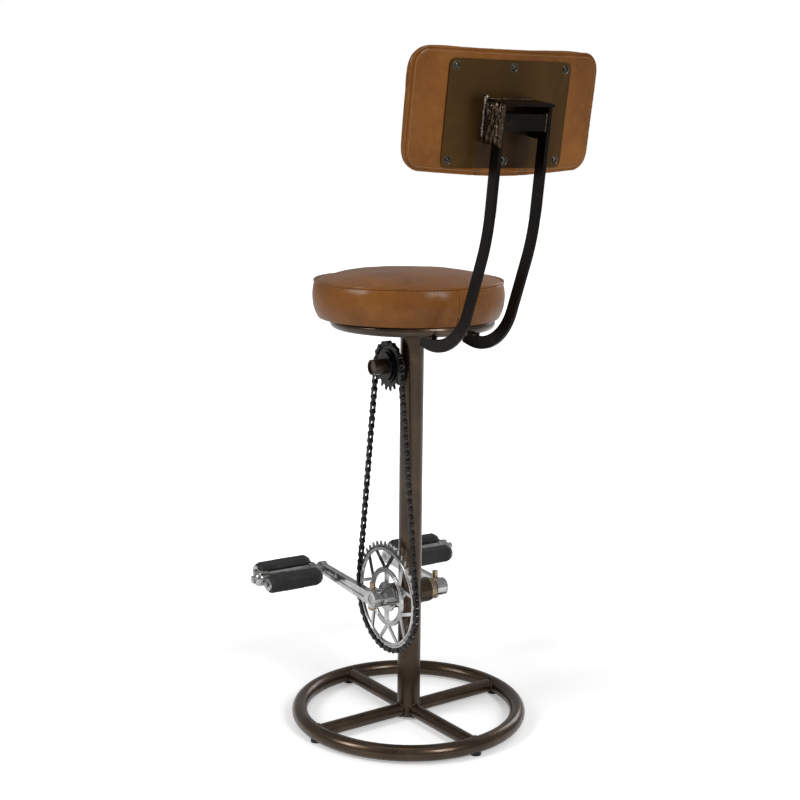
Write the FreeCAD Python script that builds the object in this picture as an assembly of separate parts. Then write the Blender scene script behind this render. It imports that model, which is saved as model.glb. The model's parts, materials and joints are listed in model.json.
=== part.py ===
"""Bar stool on a ring base, with a round padded seat, a padded backrest on two bent arms, and a
bicycle crankset, chain and freewheel on the pole, whose pedals are the footrest.

Millimetres. The origin is on the floor plane at the axis of the pole. The sitter faces -Y, +X is the
sitter's left, where the chain runs, and +Z is up.
"""
import FreeCAD, Part
import math
import os

from FreeCAD import Vector as V

# Driving dimensions: base
foot_height = 3.0
foot_radius = 9.0
base_ring_radius = 182.0
base_tube_radius = 12.7
base_tube_wall = 2.0
spoke_radius = 11.0
spoke_wall = 2.0
spoke_count = 4
spoke_turn = 3.0
vent_radius = 4.0

# Driving dimensions: pole and seat frame
pole_radius = 19.05
pole_wall = 2.0
seat_frame_top = 677.0
seat_tube_radius = 9.5
seat_tube_wall = 1.5
seat_vent_radius = 2.5
crossbar_width = 30.0
crossbar_thickness = 5.0
seat_screw_circle = 72.0
seat_screw_radius = 3.0
seat_screw_length = 14.0
screw_head_radius = 5.5
screw_head_height = 3.5

# Driving dimensions: seat
seat_set_forward = 12.0
seat_board_overhang = 7.0
seat_board_thickness = 12.0
seat_radius = 154.0
seat_overhang = 32.0
seat_side_height = 55.0
seat_crown = 18.0
seat_piping_inset = 4.5
seat_piping_radius = 2.2
seat_lip_drop = 4.5
seat_lip_width = 2.5
seat_tuck_inset = 3.9
seat_flat_inset = 0.4
seat_shoulder_inset = 0.8
seat_tuck_share = 0.15
seat_flat_share = 0.44
seat_widest_share = 0.58
seat_shoulder_share = 0.76
soft_gap = 0.3
piping_gap = 0.1

# Driving dimensions: arms of the backrest
arm_spacing = 80.0
arm_depth = 20.0
arm_thickness = 6.0
arm_top_lean = 7.6
arm_top_bend_y = 255.6
arm_top_bend_z = 817.5
arm_top_bend_radius = 300.0
arm_lower_lean = 22.3
arm_low_bend_z = 632.8
arm_low_bend_radius = 92.0
arm_foot_y = 88.0
arm_foot_rise = 12.0

# Driving dimensions: backrest, in a frame of its own with X across, Z up and Y to the rear
back_centre_y = 245.5
back_centre_z = 987.9
back_recline = 8.7
back_curve_radius = 1090.0
back_plate_width = 210.0
back_plate_height = 150.0
back_plate_thickness = 2.0
back_plate_corner = 10.0
back_screw_across = 189.0
back_screw_rise = 129.6
back_screw_radius = 2.5
back_screw_length = 14.0
back_head_radius = 4.6
back_head_height = 2.6
back_head_sink = 1.0
pad_width = 322.0
pad_top = 88.5
pad_corner_drop = 79.0
pad_middle_drop = 88.0
pad_corner_radius = 27.0
pad_least_corner = 9.0
pad_bow_radius = 1000.0
pad_thickness = 36.0
pad_crown = 9.0
pad_front_round = 13.0
pad_rear_round = 3.0
pad_board_inset = 14.0
pad_board_thickness = 10.0
pad_panel_thickness = 2.5
pad_panel_inset = 4.0
pad_panel_play = 0.1
pad_piping_inset = 0.5
pad_piping_depth = 4.0

# Driving dimensions: bracket between arms and backrest
bracket_reach = 47.0
bracket_sheet = 4.0
bracket_top = 22.0
bracket_drop = 30.0
arm_crossbar_height = 24.0
arm_crossbar_thickness = 6.0
arm_crossbar_top = 2.0
arm_crossbar_set_back = 3.0

# Driving dimensions: bottom bracket, cranks and drive
drive_set_forward = 8.0
bb_height = 213.5
bb_shell_radius = 20.5
bb_shell_length = 68.0
bb_thread_radius = 17.4
bb_cup_depth = 12.0
bb_cup_flange_radius = 19.5
bb_cup_flange = 3.0
bb_cup_projection = 11.0
bb_cup_web = 3.0
bb_cup_clearance = 0.6
bb_ball_clearance = 0.3
bb_cone_clearance = 0.2
bb_axle_recess = 1.0
bb_lock_ring_width = 4.0
chain_line = 43.5
bb_axle_radius = 8.0
bb_cone_radius = 11.0
bb_ball_radius = 3.175
bb_ball_count = 9
bearing_play = 0.05
crank_length = 170.0
crank_rise = 2.7
crank_boss_radius = 14.5
crank_boss_left_end = 74.5
crank_boss_right_end = 68.5
crank_boss_right_length = 20.0
crank_arm_thickness = 11.0
crank_arm_root = 11.0
crank_arm_tip = 8.0
crank_eye_radius = 11.5
crank_flute_width = 6.0
crank_flute_depth = 1.5
crank_flute_corner = 2.7
cotter_radius = 4.75
cotter_rise = 25.0
cotter_drop = 22.5
cotter_bite = 2.0
cotter_nut_radius = 7.0
cotter_nut_height = 6.0
cotter_inset = 10.0

# Driving dimensions: chain and chainwheels
pitch = 12.7
ring_teeth = 44
sprocket_teeth = 18
ring_wrap = 12
sprocket_wrap = 4
strand_pitches = 30
roller_radius = 3.9
roller_bore = 2.7
seat_play = 0.2
chain_gap = 3.3
link_plate = 1.0
link_play = 0.1
link_end_radius = 4.3
link_waist = 3.0
chain_pin_radius = 1.8
chain_bush_bore = 1.9
chain_bush_radius = 2.6
pin_head = 0.5
tooth_thickness = 2.8
tooth_tip_width = 1.6
tooth_rise = 3.6
ring_rim_inner = 77.0
ring_waist_inner = 40.0
ring_waist_outer = 49.0
ring_hub_radius = 25.0
ring_spigot_radius = 12.0
ring_arm_width = 11.0
ring_spoke_width = 5.5
ring_spoke_pairs = 6
ring_spoke_splay = 20.0
ring_spoke_start = 35.0
ring_spoke_sink = 2.0
ring_pad_radius = 8.0
ring_pad_hole = 3.6
ring_pad_place = 51.0
ring_pad_angle = 22.0
spigot_lip = 1.2

# Driving dimensions: upper boss and freewheel
boss_radius = 12.5
boss_wall = 2.5
boss_end = 71.0
boss_recess = 2.5
freewheel_core_radius = 20.0
freewheel_width = 12.0
freewheel_groove = 3.0
freewheel_set_in = 1.0
freewheel_ball_nesting = 0.2
freewheel_ball_radius = 1.6
freewheel_ball_count = 24
freewheel_cog_hub = 27.0
lock_ring_radius = 23.0
lock_ring_width = 3.0

# Driving dimensions: pedals
pedal_block_length = 96.0
pedal_block_half_depth = 12.5
pedal_block_half_height = 14.5
pedal_block_chamfer = 6.0
pedal_block_offset = 22.5
pedal_tilt = 14.0
pedal_gap = 12.0
pedal_plate = 2.5
pedal_plate_lobe = 11.0
pedal_plate_hub = 12.5
pedal_barrel_radius = 9.5
pedal_barrel_wall = 2.4
pedal_barrel_head = 8.0
pedal_barrel_solid = 12.0
pedal_barrel_step = 1.0
pedal_axle_clearance = 1.0
pedal_web_height = 17.6
pedal_axle_radius = 6.0
pedal_thread_radius = 7.1
pedal_flat_radius = 8.5
pedal_axle_past = 8.0
pedal_bolt_radius = 2.5
pedal_nut_radius = 4.6
pedal_nut_height = 3.0
pedal_cap_radius = 8.5
pedal_cap_length = 12.0
pedal_cap_wall = 1.5
pedal_cap_round = 3.0

# Worked out: heights, planes and radii that several pieces share
base_z = foot_height + base_tube_radius
pole_foot = base_z - spoke_radius
crossbar_underside = seat_frame_top - crossbar_thickness
seat_ring_z = seat_frame_top - seat_tube_radius
seat_ring_radius = seat_radius - seat_overhang
seat_board_radius = seat_ring_radius + seat_board_overhang
seat_lip_radius = seat_ring_radius + seat_tube_radius + seat_set_forward
drive_y = -drive_set_forward
bb_x = -4.0
chain_x = bb_x + chain_line
bb_ball_circle = bb_axle_radius + bb_ball_radius + bearing_play
bb_ball_place = bb_cup_web + bb_ball_radius + bb_ball_clearance
ring_pitch_radius = pitch / 2 / math.sin(math.pi / ring_teeth)
sprocket_pitch_radius = pitch / 2 / math.sin(math.pi / sprocket_teeth)
ring_leave = math.radians(ring_wrap * 360.0 / ring_teeth)
sprocket_leave = math.radians(sprocket_wrap * 360.0 / sprocket_teeth)
strand_across = (
    ring_pitch_radius * math.sin(ring_leave)
    - sprocket_pitch_radius * math.sin(sprocket_leave)
)
strand_rise = math.sqrt((strand_pitches * pitch) ** 2 - strand_across ** 2)
centre_distance = (
    strand_rise
    - ring_pitch_radius * math.cos(ring_leave)
    - sprocket_pitch_radius * math.cos(sprocket_leave)
)
sprocket_z = bb_height + centre_distance
crank_left_face = bb_x + crank_boss_left_end
crank_right_face = bb_x - crank_boss_right_end
arm_x = arm_spacing / 2
X_AXIS = V(1, 0, 0)
Y_AXIS = V(0, 1, 0)
Z_AXIS = V(0, 0, 1)
back_space = 2.5 * pad_thickness
back_margin = 0.5 * pad_thickness
back_reach = 2 * (pad_top + pad_middle_drop)
BB = V(bb_x, drive_y, bb_height)
SPROCKET = V(chain_x, drive_y, sprocket_z)
SEAT = V(0, -seat_set_forward, seat_frame_top)


# Shapes that repeat
def rod(start, direction, radius, length):
    return Part.makeCylinder(radius, length, start, direction)


def tube(start, direction, radius, bore, length):
    return rod(start, direction, radius, length).cut(rod(start, direction, bore, length))


def disc(x0, x1, centre, radius):
    return rod(V(x0, centre.y, centre.z), X_AXIS, radius, x1 - x0)


def washer(x0, x1, centre, radius, bore):
    return disc(x0, x1, centre, radius).cut(disc(x0, x1, centre, bore))


def ring_tube(radius, tube_radius, z):
    return Part.makeTorus(radius, tube_radius, V(0, 0, z), Z_AXIS)


def at_angle(centre, radius, degrees, x):
    """A point of a circle in the YZ plane, with 0 degrees along +Y and 90 along +Z."""
    a = math.radians(degrees)
    return V(x, centre.y + radius * math.cos(a), centre.z + radius * math.sin(a))


def turned(shape, centre, axis, degrees):
    copy = shape.copy()
    copy.rotate(centre, axis, degrees)
    return copy


def joined(shapes):
    whole = shapes[0]
    if len(shapes) > 1:
        whole = shapes[0].fuse(shapes[1:])
    return whole.removeSplitter()


def corner_arc(before, corner, after, radius):
    """The two tangent points of a rounded corner, and the arc's middle point."""
    back = (before - corner).normalize()
    on = (after - corner).normalize()
    half = back.getAngle(on) / 2
    reach = radius / math.tan(half)
    middle = corner + (back + on).normalize() * (radius / math.sin(half) - radius)
    return corner + back * reach, middle, corner + on * reach


def rounded_wire(corners, radii):
    """A closed wire of straight runs, rounded at each corner by an arc."""
    count = len(corners)
    arcs = [
        corner_arc(corners[i - 1], corners[i], corners[(i + 1) % count], radii[i])
        for i in range(count)
    ]
    edges = []
    for i in range(count):
        start, middle, end = arcs[i]
        edges.append(Part.Arc(start, middle, end).toShape())
        edges.append(Part.LineSegment(end, arcs[(i + 1) % count][0]).toShape())
    return Part.Wire(edges)


def bent_bar(path, radii, depth, thickness, x):
    """A flat bar on edge in the YZ plane, along straight runs joined by tangent arcs."""
    sides = []
    for offset in (depth / 2, -depth / 2):
        edges = []
        run = (path[1] - path[0]).normalize()
        here = path[0] + run.cross(X_AXIS) * offset
        for i in range(1, len(path) - 1):
            start, middle, end = corner_arc(path[i - 1], path[i], path[i + 1], radii[i - 1])
            run = (path[i] - path[i - 1]).normalize()
            run_on = (path[i + 1] - path[i]).normalize()
            side = run.cross(X_AXIS) * offset
            side_on = run_on.cross(X_AXIS) * offset
            side_middle = (side + side_on).normalize() * abs(offset)
            edges.append(Part.LineSegment(here, start + side).toShape())
            edges.append(Part.Arc(start + side, middle + side_middle, end + side_on).toShape())
            here = end + side_on
            run = run_on
        last = path[-1] + run.cross(X_AXIS) * offset
        edges.append(Part.LineSegment(here, last).toShape())
        sides.append((edges, path[0] + (path[1] - path[0]).normalize().cross(X_AXIS) * offset, last))
    (one, one_start, one_end), (two, two_start, two_end) = sides
    caps = [
        Part.LineSegment(one_end, two_end).toShape(),
        Part.LineSegment(two_start, one_start).toShape(),
    ]
    wire = Part.Wire(Part.__sortEdges__(one + two + caps))
    bar = Part.Face(wire).extrude(V(thickness, 0, 0))
    bar.translate(V(-thickness / 2, 0, 0))
    return bar


def ball_ring(centre, x, circle, radius, count):
    balls = [
        Part.makeSphere(radius, at_angle(centre, circle, 360.0 * i / count, x))
        for i in range(count)
    ]
    return Part.makeCompound(balls)


def hexagon(centre, axis, radius, height):
    """A nut blank along the axis, its corners on the radius."""
    across = Y_AXIS if abs(axis.y) < 0.5 else X_AXIS
    side = axis.cross(across)
    points = []
    for i in range(6):
        a = math.radians(60.0 * i)
        points.append(centre + across * (radius * math.cos(a)) + side * (radius * math.sin(a)))
    return Part.Face(Part.makePolygon(points + points[:1])).extrude(axis * height)


def mirrored(shape):
    """The same piece on the other side of the bottom bracket."""
    return shape.mirror(BB, X_AXIS)


# Base
def base_ring():
    ring = ring_tube(base_ring_radius, base_tube_radius, base_z)
    ring = ring.cut(ring_tube(base_ring_radius, base_tube_radius - base_tube_wall, base_z))
    start = base_ring_radius - base_tube_radius - base_tube_wall
    for angle in spoke_angles():
        ring = ring.cut(radial(angle, start, base_tube_radius, vent_radius))
    return ring


def spoke_angles():
    return [spoke_turn + 360.0 / spoke_count * i for i in range(spoke_count)]


def radial(angle, start, length, radius):
    a = math.radians(angle)
    way = V(math.cos(a), math.sin(a), 0)
    return rod(way * start + V(0, 0, base_z), way, radius, length)


def base_spoke(angle):
    spoke = radial(angle, 0, base_ring_radius, spoke_radius)
    spoke = spoke.cut(radial(angle, 0, base_ring_radius, spoke_radius - spoke_wall))
    spoke = spoke.cut(rod(V(0, 0, 0), Z_AXIS, pole_radius, seat_frame_top))
    return spoke.cut(ring_tube(base_ring_radius, base_tube_radius, base_z))


def base_feet():
    ring = ring_tube(base_ring_radius, base_tube_radius, base_z)
    feet = []
    for angle in spoke_angles():
        a = math.radians(angle)
        place = V(base_ring_radius * math.cos(a), base_ring_radius * math.sin(a), 0)
        spoke = radial(angle, 0, base_ring_radius, spoke_radius)
        feet.append(rod(place, Z_AXIS, foot_radius, base_z).cut(ring).cut(spoke))
    return Part.makeCompound(feet)


# Pole, bottom bracket shell and upper boss
def pole():
    length = crossbar_underside - pole_foot
    column = tube(V(0, 0, pole_foot), Z_AXIS, pole_radius, pole_radius - pole_wall, length)
    return column.cut(shell_outside())


def shell_outside():
    half = bb_shell_length / 2
    return disc(bb_x - half, bb_x + half, BB, bb_shell_radius)


def bb_shell():
    half = bb_shell_length / 2
    return shell_outside().cut(disc(bb_x - half, bb_x + half, BB, bb_thread_radius))


def sprocket_boss():
    boss = washer(0, boss_end, SPROCKET, boss_radius, boss_radius - boss_wall)
    return boss.cut(rod(V(0, 0, 0), Z_AXIS, pole_radius, seat_frame_top))


def boss_cap():
    end = boss_end - boss_recess
    return disc(end - boss_wall, end, SPROCKET, boss_radius - boss_wall)


# Bottom bracket bearing
def cup(outer_face, inward, flange_radius, flange_width):
    """A bearing cup whose threaded part enters the shell from its end, towards inward."""
    shell_end = bb_x - inward * bb_shell_length / 2
    lo, hi = sorted((shell_end, shell_end + inward * bb_cup_depth))
    body = disc(lo, hi, BB, bb_thread_radius)
    lo, hi = sorted((shell_end, outer_face))
    body = body.fuse(disc(lo, hi, BB, flange_radius))
    race = bb_ball_circle + bb_ball_radius + bearing_play
    lo, hi = sorted((shell_end + inward * bb_cup_depth, shell_end + inward * bb_cup_web))
    body = body.cut(disc(lo, hi, BB, race))
    lo, hi = sorted((outer_face, shell_end + inward * bb_cup_depth))
    return body.cut(disc(lo, hi, BB, bb_axle_radius + bb_cup_clearance)).removeSplitter()


def bb_cup_chain_side():
    return cup(bb_x + bb_shell_length / 2 + bb_cup_flange, -1, bb_cup_flange_radius, bb_cup_flange)


def bb_cup_plain_side():
    return cup(bb_x - bb_shell_length / 2 - bb_cup_projection, 1, bb_thread_radius, bb_cup_projection)


def bb_lock_ring():
    end = bb_x - bb_shell_length / 2
    return washer(end - bb_lock_ring_width, end, BB, bb_cup_flange_radius, bb_thread_radius)


def bb_balls():
    half = bb_shell_length / 2 - bb_ball_place
    rows = [
        ball_ring(BB, bb_x + side * half, bb_ball_circle, bb_ball_radius, bb_ball_count)
        for side in (1, -1)
    ]
    return Part.makeCompound([ball for row in rows for ball in row.Solids])


def bb_axle():
    start = crank_right_face + bb_axle_recess
    end = crank_left_face - bb_axle_recess
    cone_half = bb_shell_length / 2 - bb_ball_place - bb_ball_radius - bb_cone_clearance
    bar = disc(start, end, BB, bb_axle_radius)
    cones = disc(bb_x - cone_half, bb_x + cone_half, BB, bb_cone_radius)
    return bar.fuse(cones).cut(cotters_outside()).removeSplitter()


# Cotters, which wedge each crank on a flat of the axle
def cotter_sites():
    left = crank_left_face - cotter_inset
    right = crank_right_face + cotter_inset
    offset = bb_axle_radius + cotter_radius - cotter_bite
    return [V(left, drive_y - offset, bb_height), V(right, drive_y - offset, bb_height)]


def cotter(site, radius):
    return rod(site - Z_AXIS * cotter_drop, Z_AXIS, radius, cotter_rise + cotter_drop)


def cotters_outside():
    return Part.makeCompound([cotter(site, cotter_radius) for site in cotter_sites()])


def cotter_pins():
    return cotters_outside()


def cotter_nuts():
    nuts = []
    for site in cotter_sites():
        under = site - Z_AXIS * (crank_boss_radius + cotter_nut_height)
        nut = hexagon(under, Z_AXIS, cotter_nut_radius, cotter_nut_height)
        nuts.append(nut.cut(cotter(site, cotter_radius)).cut(boss_block()))
    return Part.makeCompound(nuts)


def boss_block():
    """Both crank bosses as one bar, to seat the nuts on their round sides."""
    return disc(crank_right_face, crank_left_face, BB, crank_boss_radius)


# Cranks, made pointing forwards and then raised by their rest angle
def crank(face, boss_start, side):
    """A crank whose outer face is at face, with its boss from boss_start, on side +1 or -1."""
    lo, hi = sorted((boss_start, face))
    boss = disc(lo, hi, BB, crank_boss_radius)
    arm_lo, arm_hi = sorted((face, face - side * crank_arm_thickness))
    tip_y = drive_y - crank_length
    outline = [
        V(arm_lo, drive_y, bb_height - crank_arm_root),
        V(arm_lo, drive_y, bb_height + crank_arm_root),
        V(arm_lo, tip_y, bb_height + crank_arm_tip),
        V(arm_lo, tip_y, bb_height - crank_arm_tip),
    ]
    arm = Part.Face(Part.makePolygon(outline + outline[:1])).extrude(V(arm_hi - arm_lo, 0, 0))
    eye = disc(arm_lo, arm_hi, V(0, tip_y, bb_height), crank_eye_radius)
    whole = joined([boss, arm, eye])
    flute_start = drive_y - crank_boss_radius - crank_flute_width
    flute_end = tip_y + crank_eye_radius + crank_flute_width
    corners = [
        V(face, flute_start, bb_height - crank_flute_width / 2),
        V(face, flute_start, bb_height + crank_flute_width / 2),
        V(face, flute_end, bb_height + crank_flute_width / 2),
        V(face, flute_end, bb_height - crank_flute_width / 2),
    ]
    flute = Part.Face(rounded_wire(corners, [crank_flute_corner] * 4))
    whole = whole.cut(flute.extrude(V(-side * crank_flute_depth, 0, 0)))
    whole = whole.cut(disc(arm_lo, arm_hi, V(0, tip_y, bb_height), pedal_thread_radius))
    return turned(whole, BB, X_AXIS, -crank_rise)


def crank_left():
    arm = crank(crank_left_face, chain_x + tooth_thickness / 2, 1)
    back = chain_x - tooth_thickness / 2 - spigot_lip
    spigot = disc(back, chain_x + tooth_thickness / 2, BB, ring_spigot_radius)
    arm = arm.fuse(spigot).cut(disc(back, crank_left_face, BB, bb_axle_radius))
    return arm.cut(cotters_outside()).removeSplitter()


def crank_right():
    arm = crank(crank_right_face, crank_right_face + crank_boss_right_length, -1)
    inner_face = crank_right_face + crank_boss_right_length
    arm = arm.cut(disc(crank_right_face, inner_face, BB, bb_axle_radius))
    return arm.cut(cotters_outside()).removeSplitter()


# Toothed wheels
def toothed_face(centre, teeth, first_gap):
    """The outline of a chainwheel, with a roller seat at the angle first_gap."""
    pitch_radius = pitch / 2 / math.sin(math.pi / teeth)
    seat = roller_radius + seat_play
    step = 360.0 / teeth
    edges = []
    for i in range(teeth):
        angle = first_gap + i * step
        a = math.radians(angle)
        out = V(0, math.cos(a), math.sin(a))
        along = V(0, -math.sin(a), math.cos(a))
        middle = at_angle(centre, pitch_radius, angle, 0)
        spread = math.radians(62)
        left = middle - out * (seat * math.cos(spread)) - along * (seat * math.sin(spread))
        right = middle - out * (seat * math.cos(spread)) + along * (seat * math.sin(spread))
        bottom = middle - out * seat
        tip_radius = pitch_radius + tooth_rise
        half_tip = math.degrees(tooth_tip_width / 2 / tip_radius)
        tip_in = at_angle(centre, tip_radius, angle + step / 2 - half_tip, 0)
        tip_out = at_angle(centre, tip_radius, angle + step / 2 + half_tip, 0)
        b = math.radians(angle + step)
        out_on = V(0, math.cos(b), math.sin(b))
        along_on = V(0, -math.sin(b), math.cos(b))
        middle_on = at_angle(centre, pitch_radius, angle + step, 0)
        next_left = middle_on - out_on * (seat * math.cos(spread))
        next_left = next_left - along_on * (seat * math.sin(spread))
        edges.append(Part.Arc(left, bottom, right).toShape())
        edges.append(Part.LineSegment(right, tip_in).toShape())
        edges.append(Part.LineSegment(tip_in, tip_out).toShape())
        edges.append(Part.LineSegment(tip_out, next_left).toShape())
    return Part.Face(Part.Wire(edges))


def toothed_plate(centre, teeth, first_gap):
    plate = toothed_face(centre, teeth, first_gap).extrude(V(tooth_thickness, 0, 0))
    plate.translate(V(chain_x - tooth_thickness / 2, 0, 0))
    return plate


def bar_between(a, b, width):
    """A flat bar as thick as the teeth, in the plane of the chain."""
    way = (b - a).normalize()
    side = way.cross(X_AXIS) * (width / 2)
    back = V(-tooth_thickness / 2, 0, 0)
    points = [a + side + back, b + side + back, b - side + back, a - side + back]
    return Part.Face(Part.makePolygon(points + points[:1])).extrude(V(tooth_thickness, 0, 0))


def chainring():
    lo = chain_x - tooth_thickness / 2
    hi = chain_x + tooth_thickness / 2
    rim = toothed_plate(BB, ring_teeth, -90.0).cut(disc(lo, hi, BB, ring_rim_inner))
    waist = washer(lo, hi, BB, ring_waist_outer, ring_waist_inner)
    pieces = [rim, waist, disc(lo, hi, BB, ring_hub_radius)]
    for i in range(4):
        start = at_angle(BB, ring_hub_radius - 4, 90.0 * i, chain_x)
        end = at_angle(BB, ring_waist_inner + 4, 90.0 * i, chain_x)
        pieces.append(bar_between(start, end, ring_arm_width))
    for i in range(ring_spoke_pairs):
        apex = ring_spoke_start + 360.0 / ring_spoke_pairs * i
        for side in (-1, 1):
            start = at_angle(BB, ring_waist_outer - 3, apex, chain_x)
            end = at_angle(BB, ring_rim_inner + ring_spoke_sink, apex + side * ring_spoke_splay, chain_x)
            pieces.append(bar_between(start, end, ring_spoke_width))
    pad = at_angle(BB, ring_pad_place, ring_pad_angle, chain_x)
    pieces.append(disc(lo, hi, pad, ring_pad_radius))
    whole = joined(pieces)
    return whole.cut(disc(lo, hi, pad, ring_pad_hole)).cut(disc(lo, hi, BB, ring_spigot_radius))


# Freewheel
def freewheel_lo():
    return chain_x - freewheel_width / 2


def freewheel_core():
    lo = freewheel_lo()
    core = washer(lo, lo + freewheel_width, SPROCKET, freewheel_core_radius, boss_radius)
    groove = freewheel_core_radius - freewheel_ball_radius
    lo = chain_x - freewheel_groove
    hi = chain_x + freewheel_groove
    return core.cut(washer(lo, hi, SPROCKET, freewheel_core_radius, groove - bearing_play))


def freewheel_sprocket():
    bore = freewheel_core_radius + bearing_play
    lo = freewheel_lo() + freewheel_set_in
    hub = disc(lo, lo + freewheel_width - 2 * freewheel_set_in, SPROCKET, freewheel_cog_hub)
    cog = toothed_plate(SPROCKET, sprocket_teeth, 90.0).fuse(hub)
    cog = cog.cut(disc(lo, lo + freewheel_width, SPROCKET, bore))
    race = freewheel_core_radius + freewheel_ball_radius + bearing_play
    lo = chain_x - freewheel_groove
    return cog.cut(disc(lo, lo + 2 * freewheel_groove, SPROCKET, race)).removeSplitter()


def freewheel_balls():
    rows = []
    for side in (-1, 1):
        x = chain_x + side * (freewheel_ball_radius - freewheel_ball_nesting)
        turn = 360.0 / freewheel_ball_count / 2 if side > 0 else 0.0
        row = ball_ring(SPROCKET, x, freewheel_core_radius, freewheel_ball_radius, freewheel_ball_count)
        rows.extend(turned(ball, SPROCKET, X_AXIS, turn) for ball in row.Solids)
    return Part.makeCompound(rows)


def freewheel_lock_ring():
    lo = freewheel_lo() + freewheel_width
    return washer(lo, lo + lock_ring_width, SPROCKET, lock_ring_radius, boss_radius)


# Chain: the places of its rollers, and the two kinds of link between them
def chain_points():
    points = []
    step = 360.0 / ring_teeth
    for i in range(-ring_wrap, ring_wrap + 1):
        points.append(at_angle(BB, ring_pitch_radius, -90.0 + i * step, chain_x))
    step = 360.0 / sprocket_teeth
    over = [
        at_angle(SPROCKET, sprocket_pitch_radius, 90.0 + i * step, chain_x)
        for i in range(-sprocket_wrap, sprocket_wrap + 1)
    ]
    up = strand(points[-1], over[0])
    down = strand(over[-1], points[0])
    return points + up + over + down


def strand(start, end):
    return [start + (end - start) * (i / strand_pitches) for i in range(1, strand_pitches)]


def link_plate_shape(x):
    """One waisted side plate with its first pin hole at the origin and the next along +Y."""
    r = link_end_radius
    meet = 50.0
    a = math.radians(meet)
    near = V(x, r * math.cos(a), r * math.sin(a))
    far = V(x, pitch - r * math.cos(a), r * math.sin(a))
    near_low = V(x, near.y, -near.z)
    far_low = V(x, far.y, -far.z)
    edges = [
        Part.Arc(near_low, V(x, -r, 0), near).toShape(),
        Part.Arc(near, V(x, pitch / 2, link_waist), far).toShape(),
        Part.Arc(far, V(x, pitch + r, 0), far_low).toShape(),
        Part.Arc(far_low, V(x, pitch / 2, -link_waist), near_low).toShape(),
    ]
    return Part.Face(Part.Wire(edges)).extrude(V(link_plate, 0, 0))


def outer_link():
    inner_half = chain_gap / 2 + link_plate + link_play
    pin_half = inner_half + link_plate + pin_head
    plates = [link_plate_shape(inner_half), link_plate_shape(-inner_half - link_plate)]
    pins = [rod(V(-pin_half, y, 0), X_AXIS, chain_pin_radius, 2 * pin_half) for y in (0, pitch)]
    return joined(plates + pins)


def inner_link():
    half = chain_gap / 2
    plates = [link_plate_shape(half), link_plate_shape(-half - link_plate)]
    bushes = [rod(V(-half, y, 0), X_AXIS, chain_bush_radius, 2 * half) for y in (0, pitch)]
    whole = joined(plates + bushes)
    for y in (0, pitch):
        start = V(-half - link_plate, y, 0)
        whole = whole.cut(rod(start, X_AXIS, chain_bush_bore, 2 * (half + link_plate)))
    return whole


def along_chain(shape, parity):
    """Copies of a link made at the origin, one on every other pitch of the chain."""
    points = chain_points()
    copies = []
    for i in range(parity, len(points), 2):
        here = points[i]
        way = points[(i + 1) % len(points)] - here
        copy = turned(shape, V(0, 0, 0), X_AXIS, math.degrees(math.atan2(way.z, way.y)))
        copy.translate(here)
        copies.append(copy)
    return Part.makeCompound(copies)


def chain_outer_links():
    return along_chain(outer_link(), 0)


def chain_inner_links():
    return along_chain(inner_link(), 1)


def chain_rollers():
    half = chain_gap / 2 - link_play
    rollers = []
    for point in chain_points():
        rollers.append(washer(point.x - half, point.x + half, point, roller_radius, roller_bore))
    return Part.makeCompound(rollers)


# Pedals, made on the left crank level with its axis and then turned and mirrored
def pedal_place():
    a = math.radians(crank_rise)
    return V(0, drive_y - crank_length * math.cos(a), bb_height + crank_length * math.sin(a))


def tilted(shape):
    return turned(shape, pedal_place(), X_AXIS, -pedal_tilt)


def pedal_inner():
    return crank_left_face + pedal_gap


def pedal_outer():
    return pedal_inner() + 2 * pedal_plate + pedal_block_length


def pedal_axle():
    eye = pedal_place()
    start = crank_left_face - crank_arm_thickness
    thread = disc(start, crank_left_face, eye, pedal_thread_radius)
    collar = disc(crank_left_face, pedal_inner() - pedal_axle_clearance, eye, pedal_flat_radius)
    spindle = disc(crank_left_face, pedal_outer() + pedal_axle_past, eye, pedal_axle_radius)
    return joined([thread, collar, spindle])


def pedal_barrel():
    eye = pedal_place()
    lo = pedal_inner() + pedal_plate
    hi = pedal_outer() - pedal_plate
    barrel = disc(lo, hi, eye, pedal_barrel_radius)
    head = pedal_plate_hub - pedal_barrel_step
    ends = [disc(x, x + pedal_barrel_head, eye, head) for x in (lo, hi - pedal_barrel_head)]
    whole = joined([barrel] + ends).cut(disc(lo, hi, eye, pedal_axle_radius + bearing_play))
    hollow = pedal_barrel_radius - pedal_barrel_wall
    return whole.cut(disc(lo + pedal_barrel_solid, hi - pedal_barrel_solid, eye, hollow))


def block_centres():
    eye = pedal_place()
    return [V(0, eye.y + side * pedal_block_offset, eye.z) for side in (-1, 1)]


def pedal_end_plate(x):
    eye = pedal_place()
    lobes = [disc(x, x + pedal_plate, centre, pedal_plate_lobe) for centre in block_centres()]
    hub = disc(x, x + pedal_plate, eye, pedal_plate_hub)
    web = Part.makeBox(
        pedal_plate,
        2 * pedal_block_offset,
        pedal_web_height,
        V(x, eye.y - pedal_block_offset, eye.z - pedal_web_height / 2),
    )
    bore = disc(x, x + pedal_plate, eye, pedal_axle_radius + pedal_axle_clearance)
    plate = joined(lobes + [hub, web]).cut(bore)
    for centre in block_centres():
        plate = plate.cut(disc(x, x + pedal_plate, centre, pedal_bolt_radius))
    return tilted(plate)


def pedal_inner_plate():
    return pedal_end_plate(pedal_inner())


def pedal_outer_plate():
    return pedal_end_plate(pedal_outer() - pedal_plate)


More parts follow.
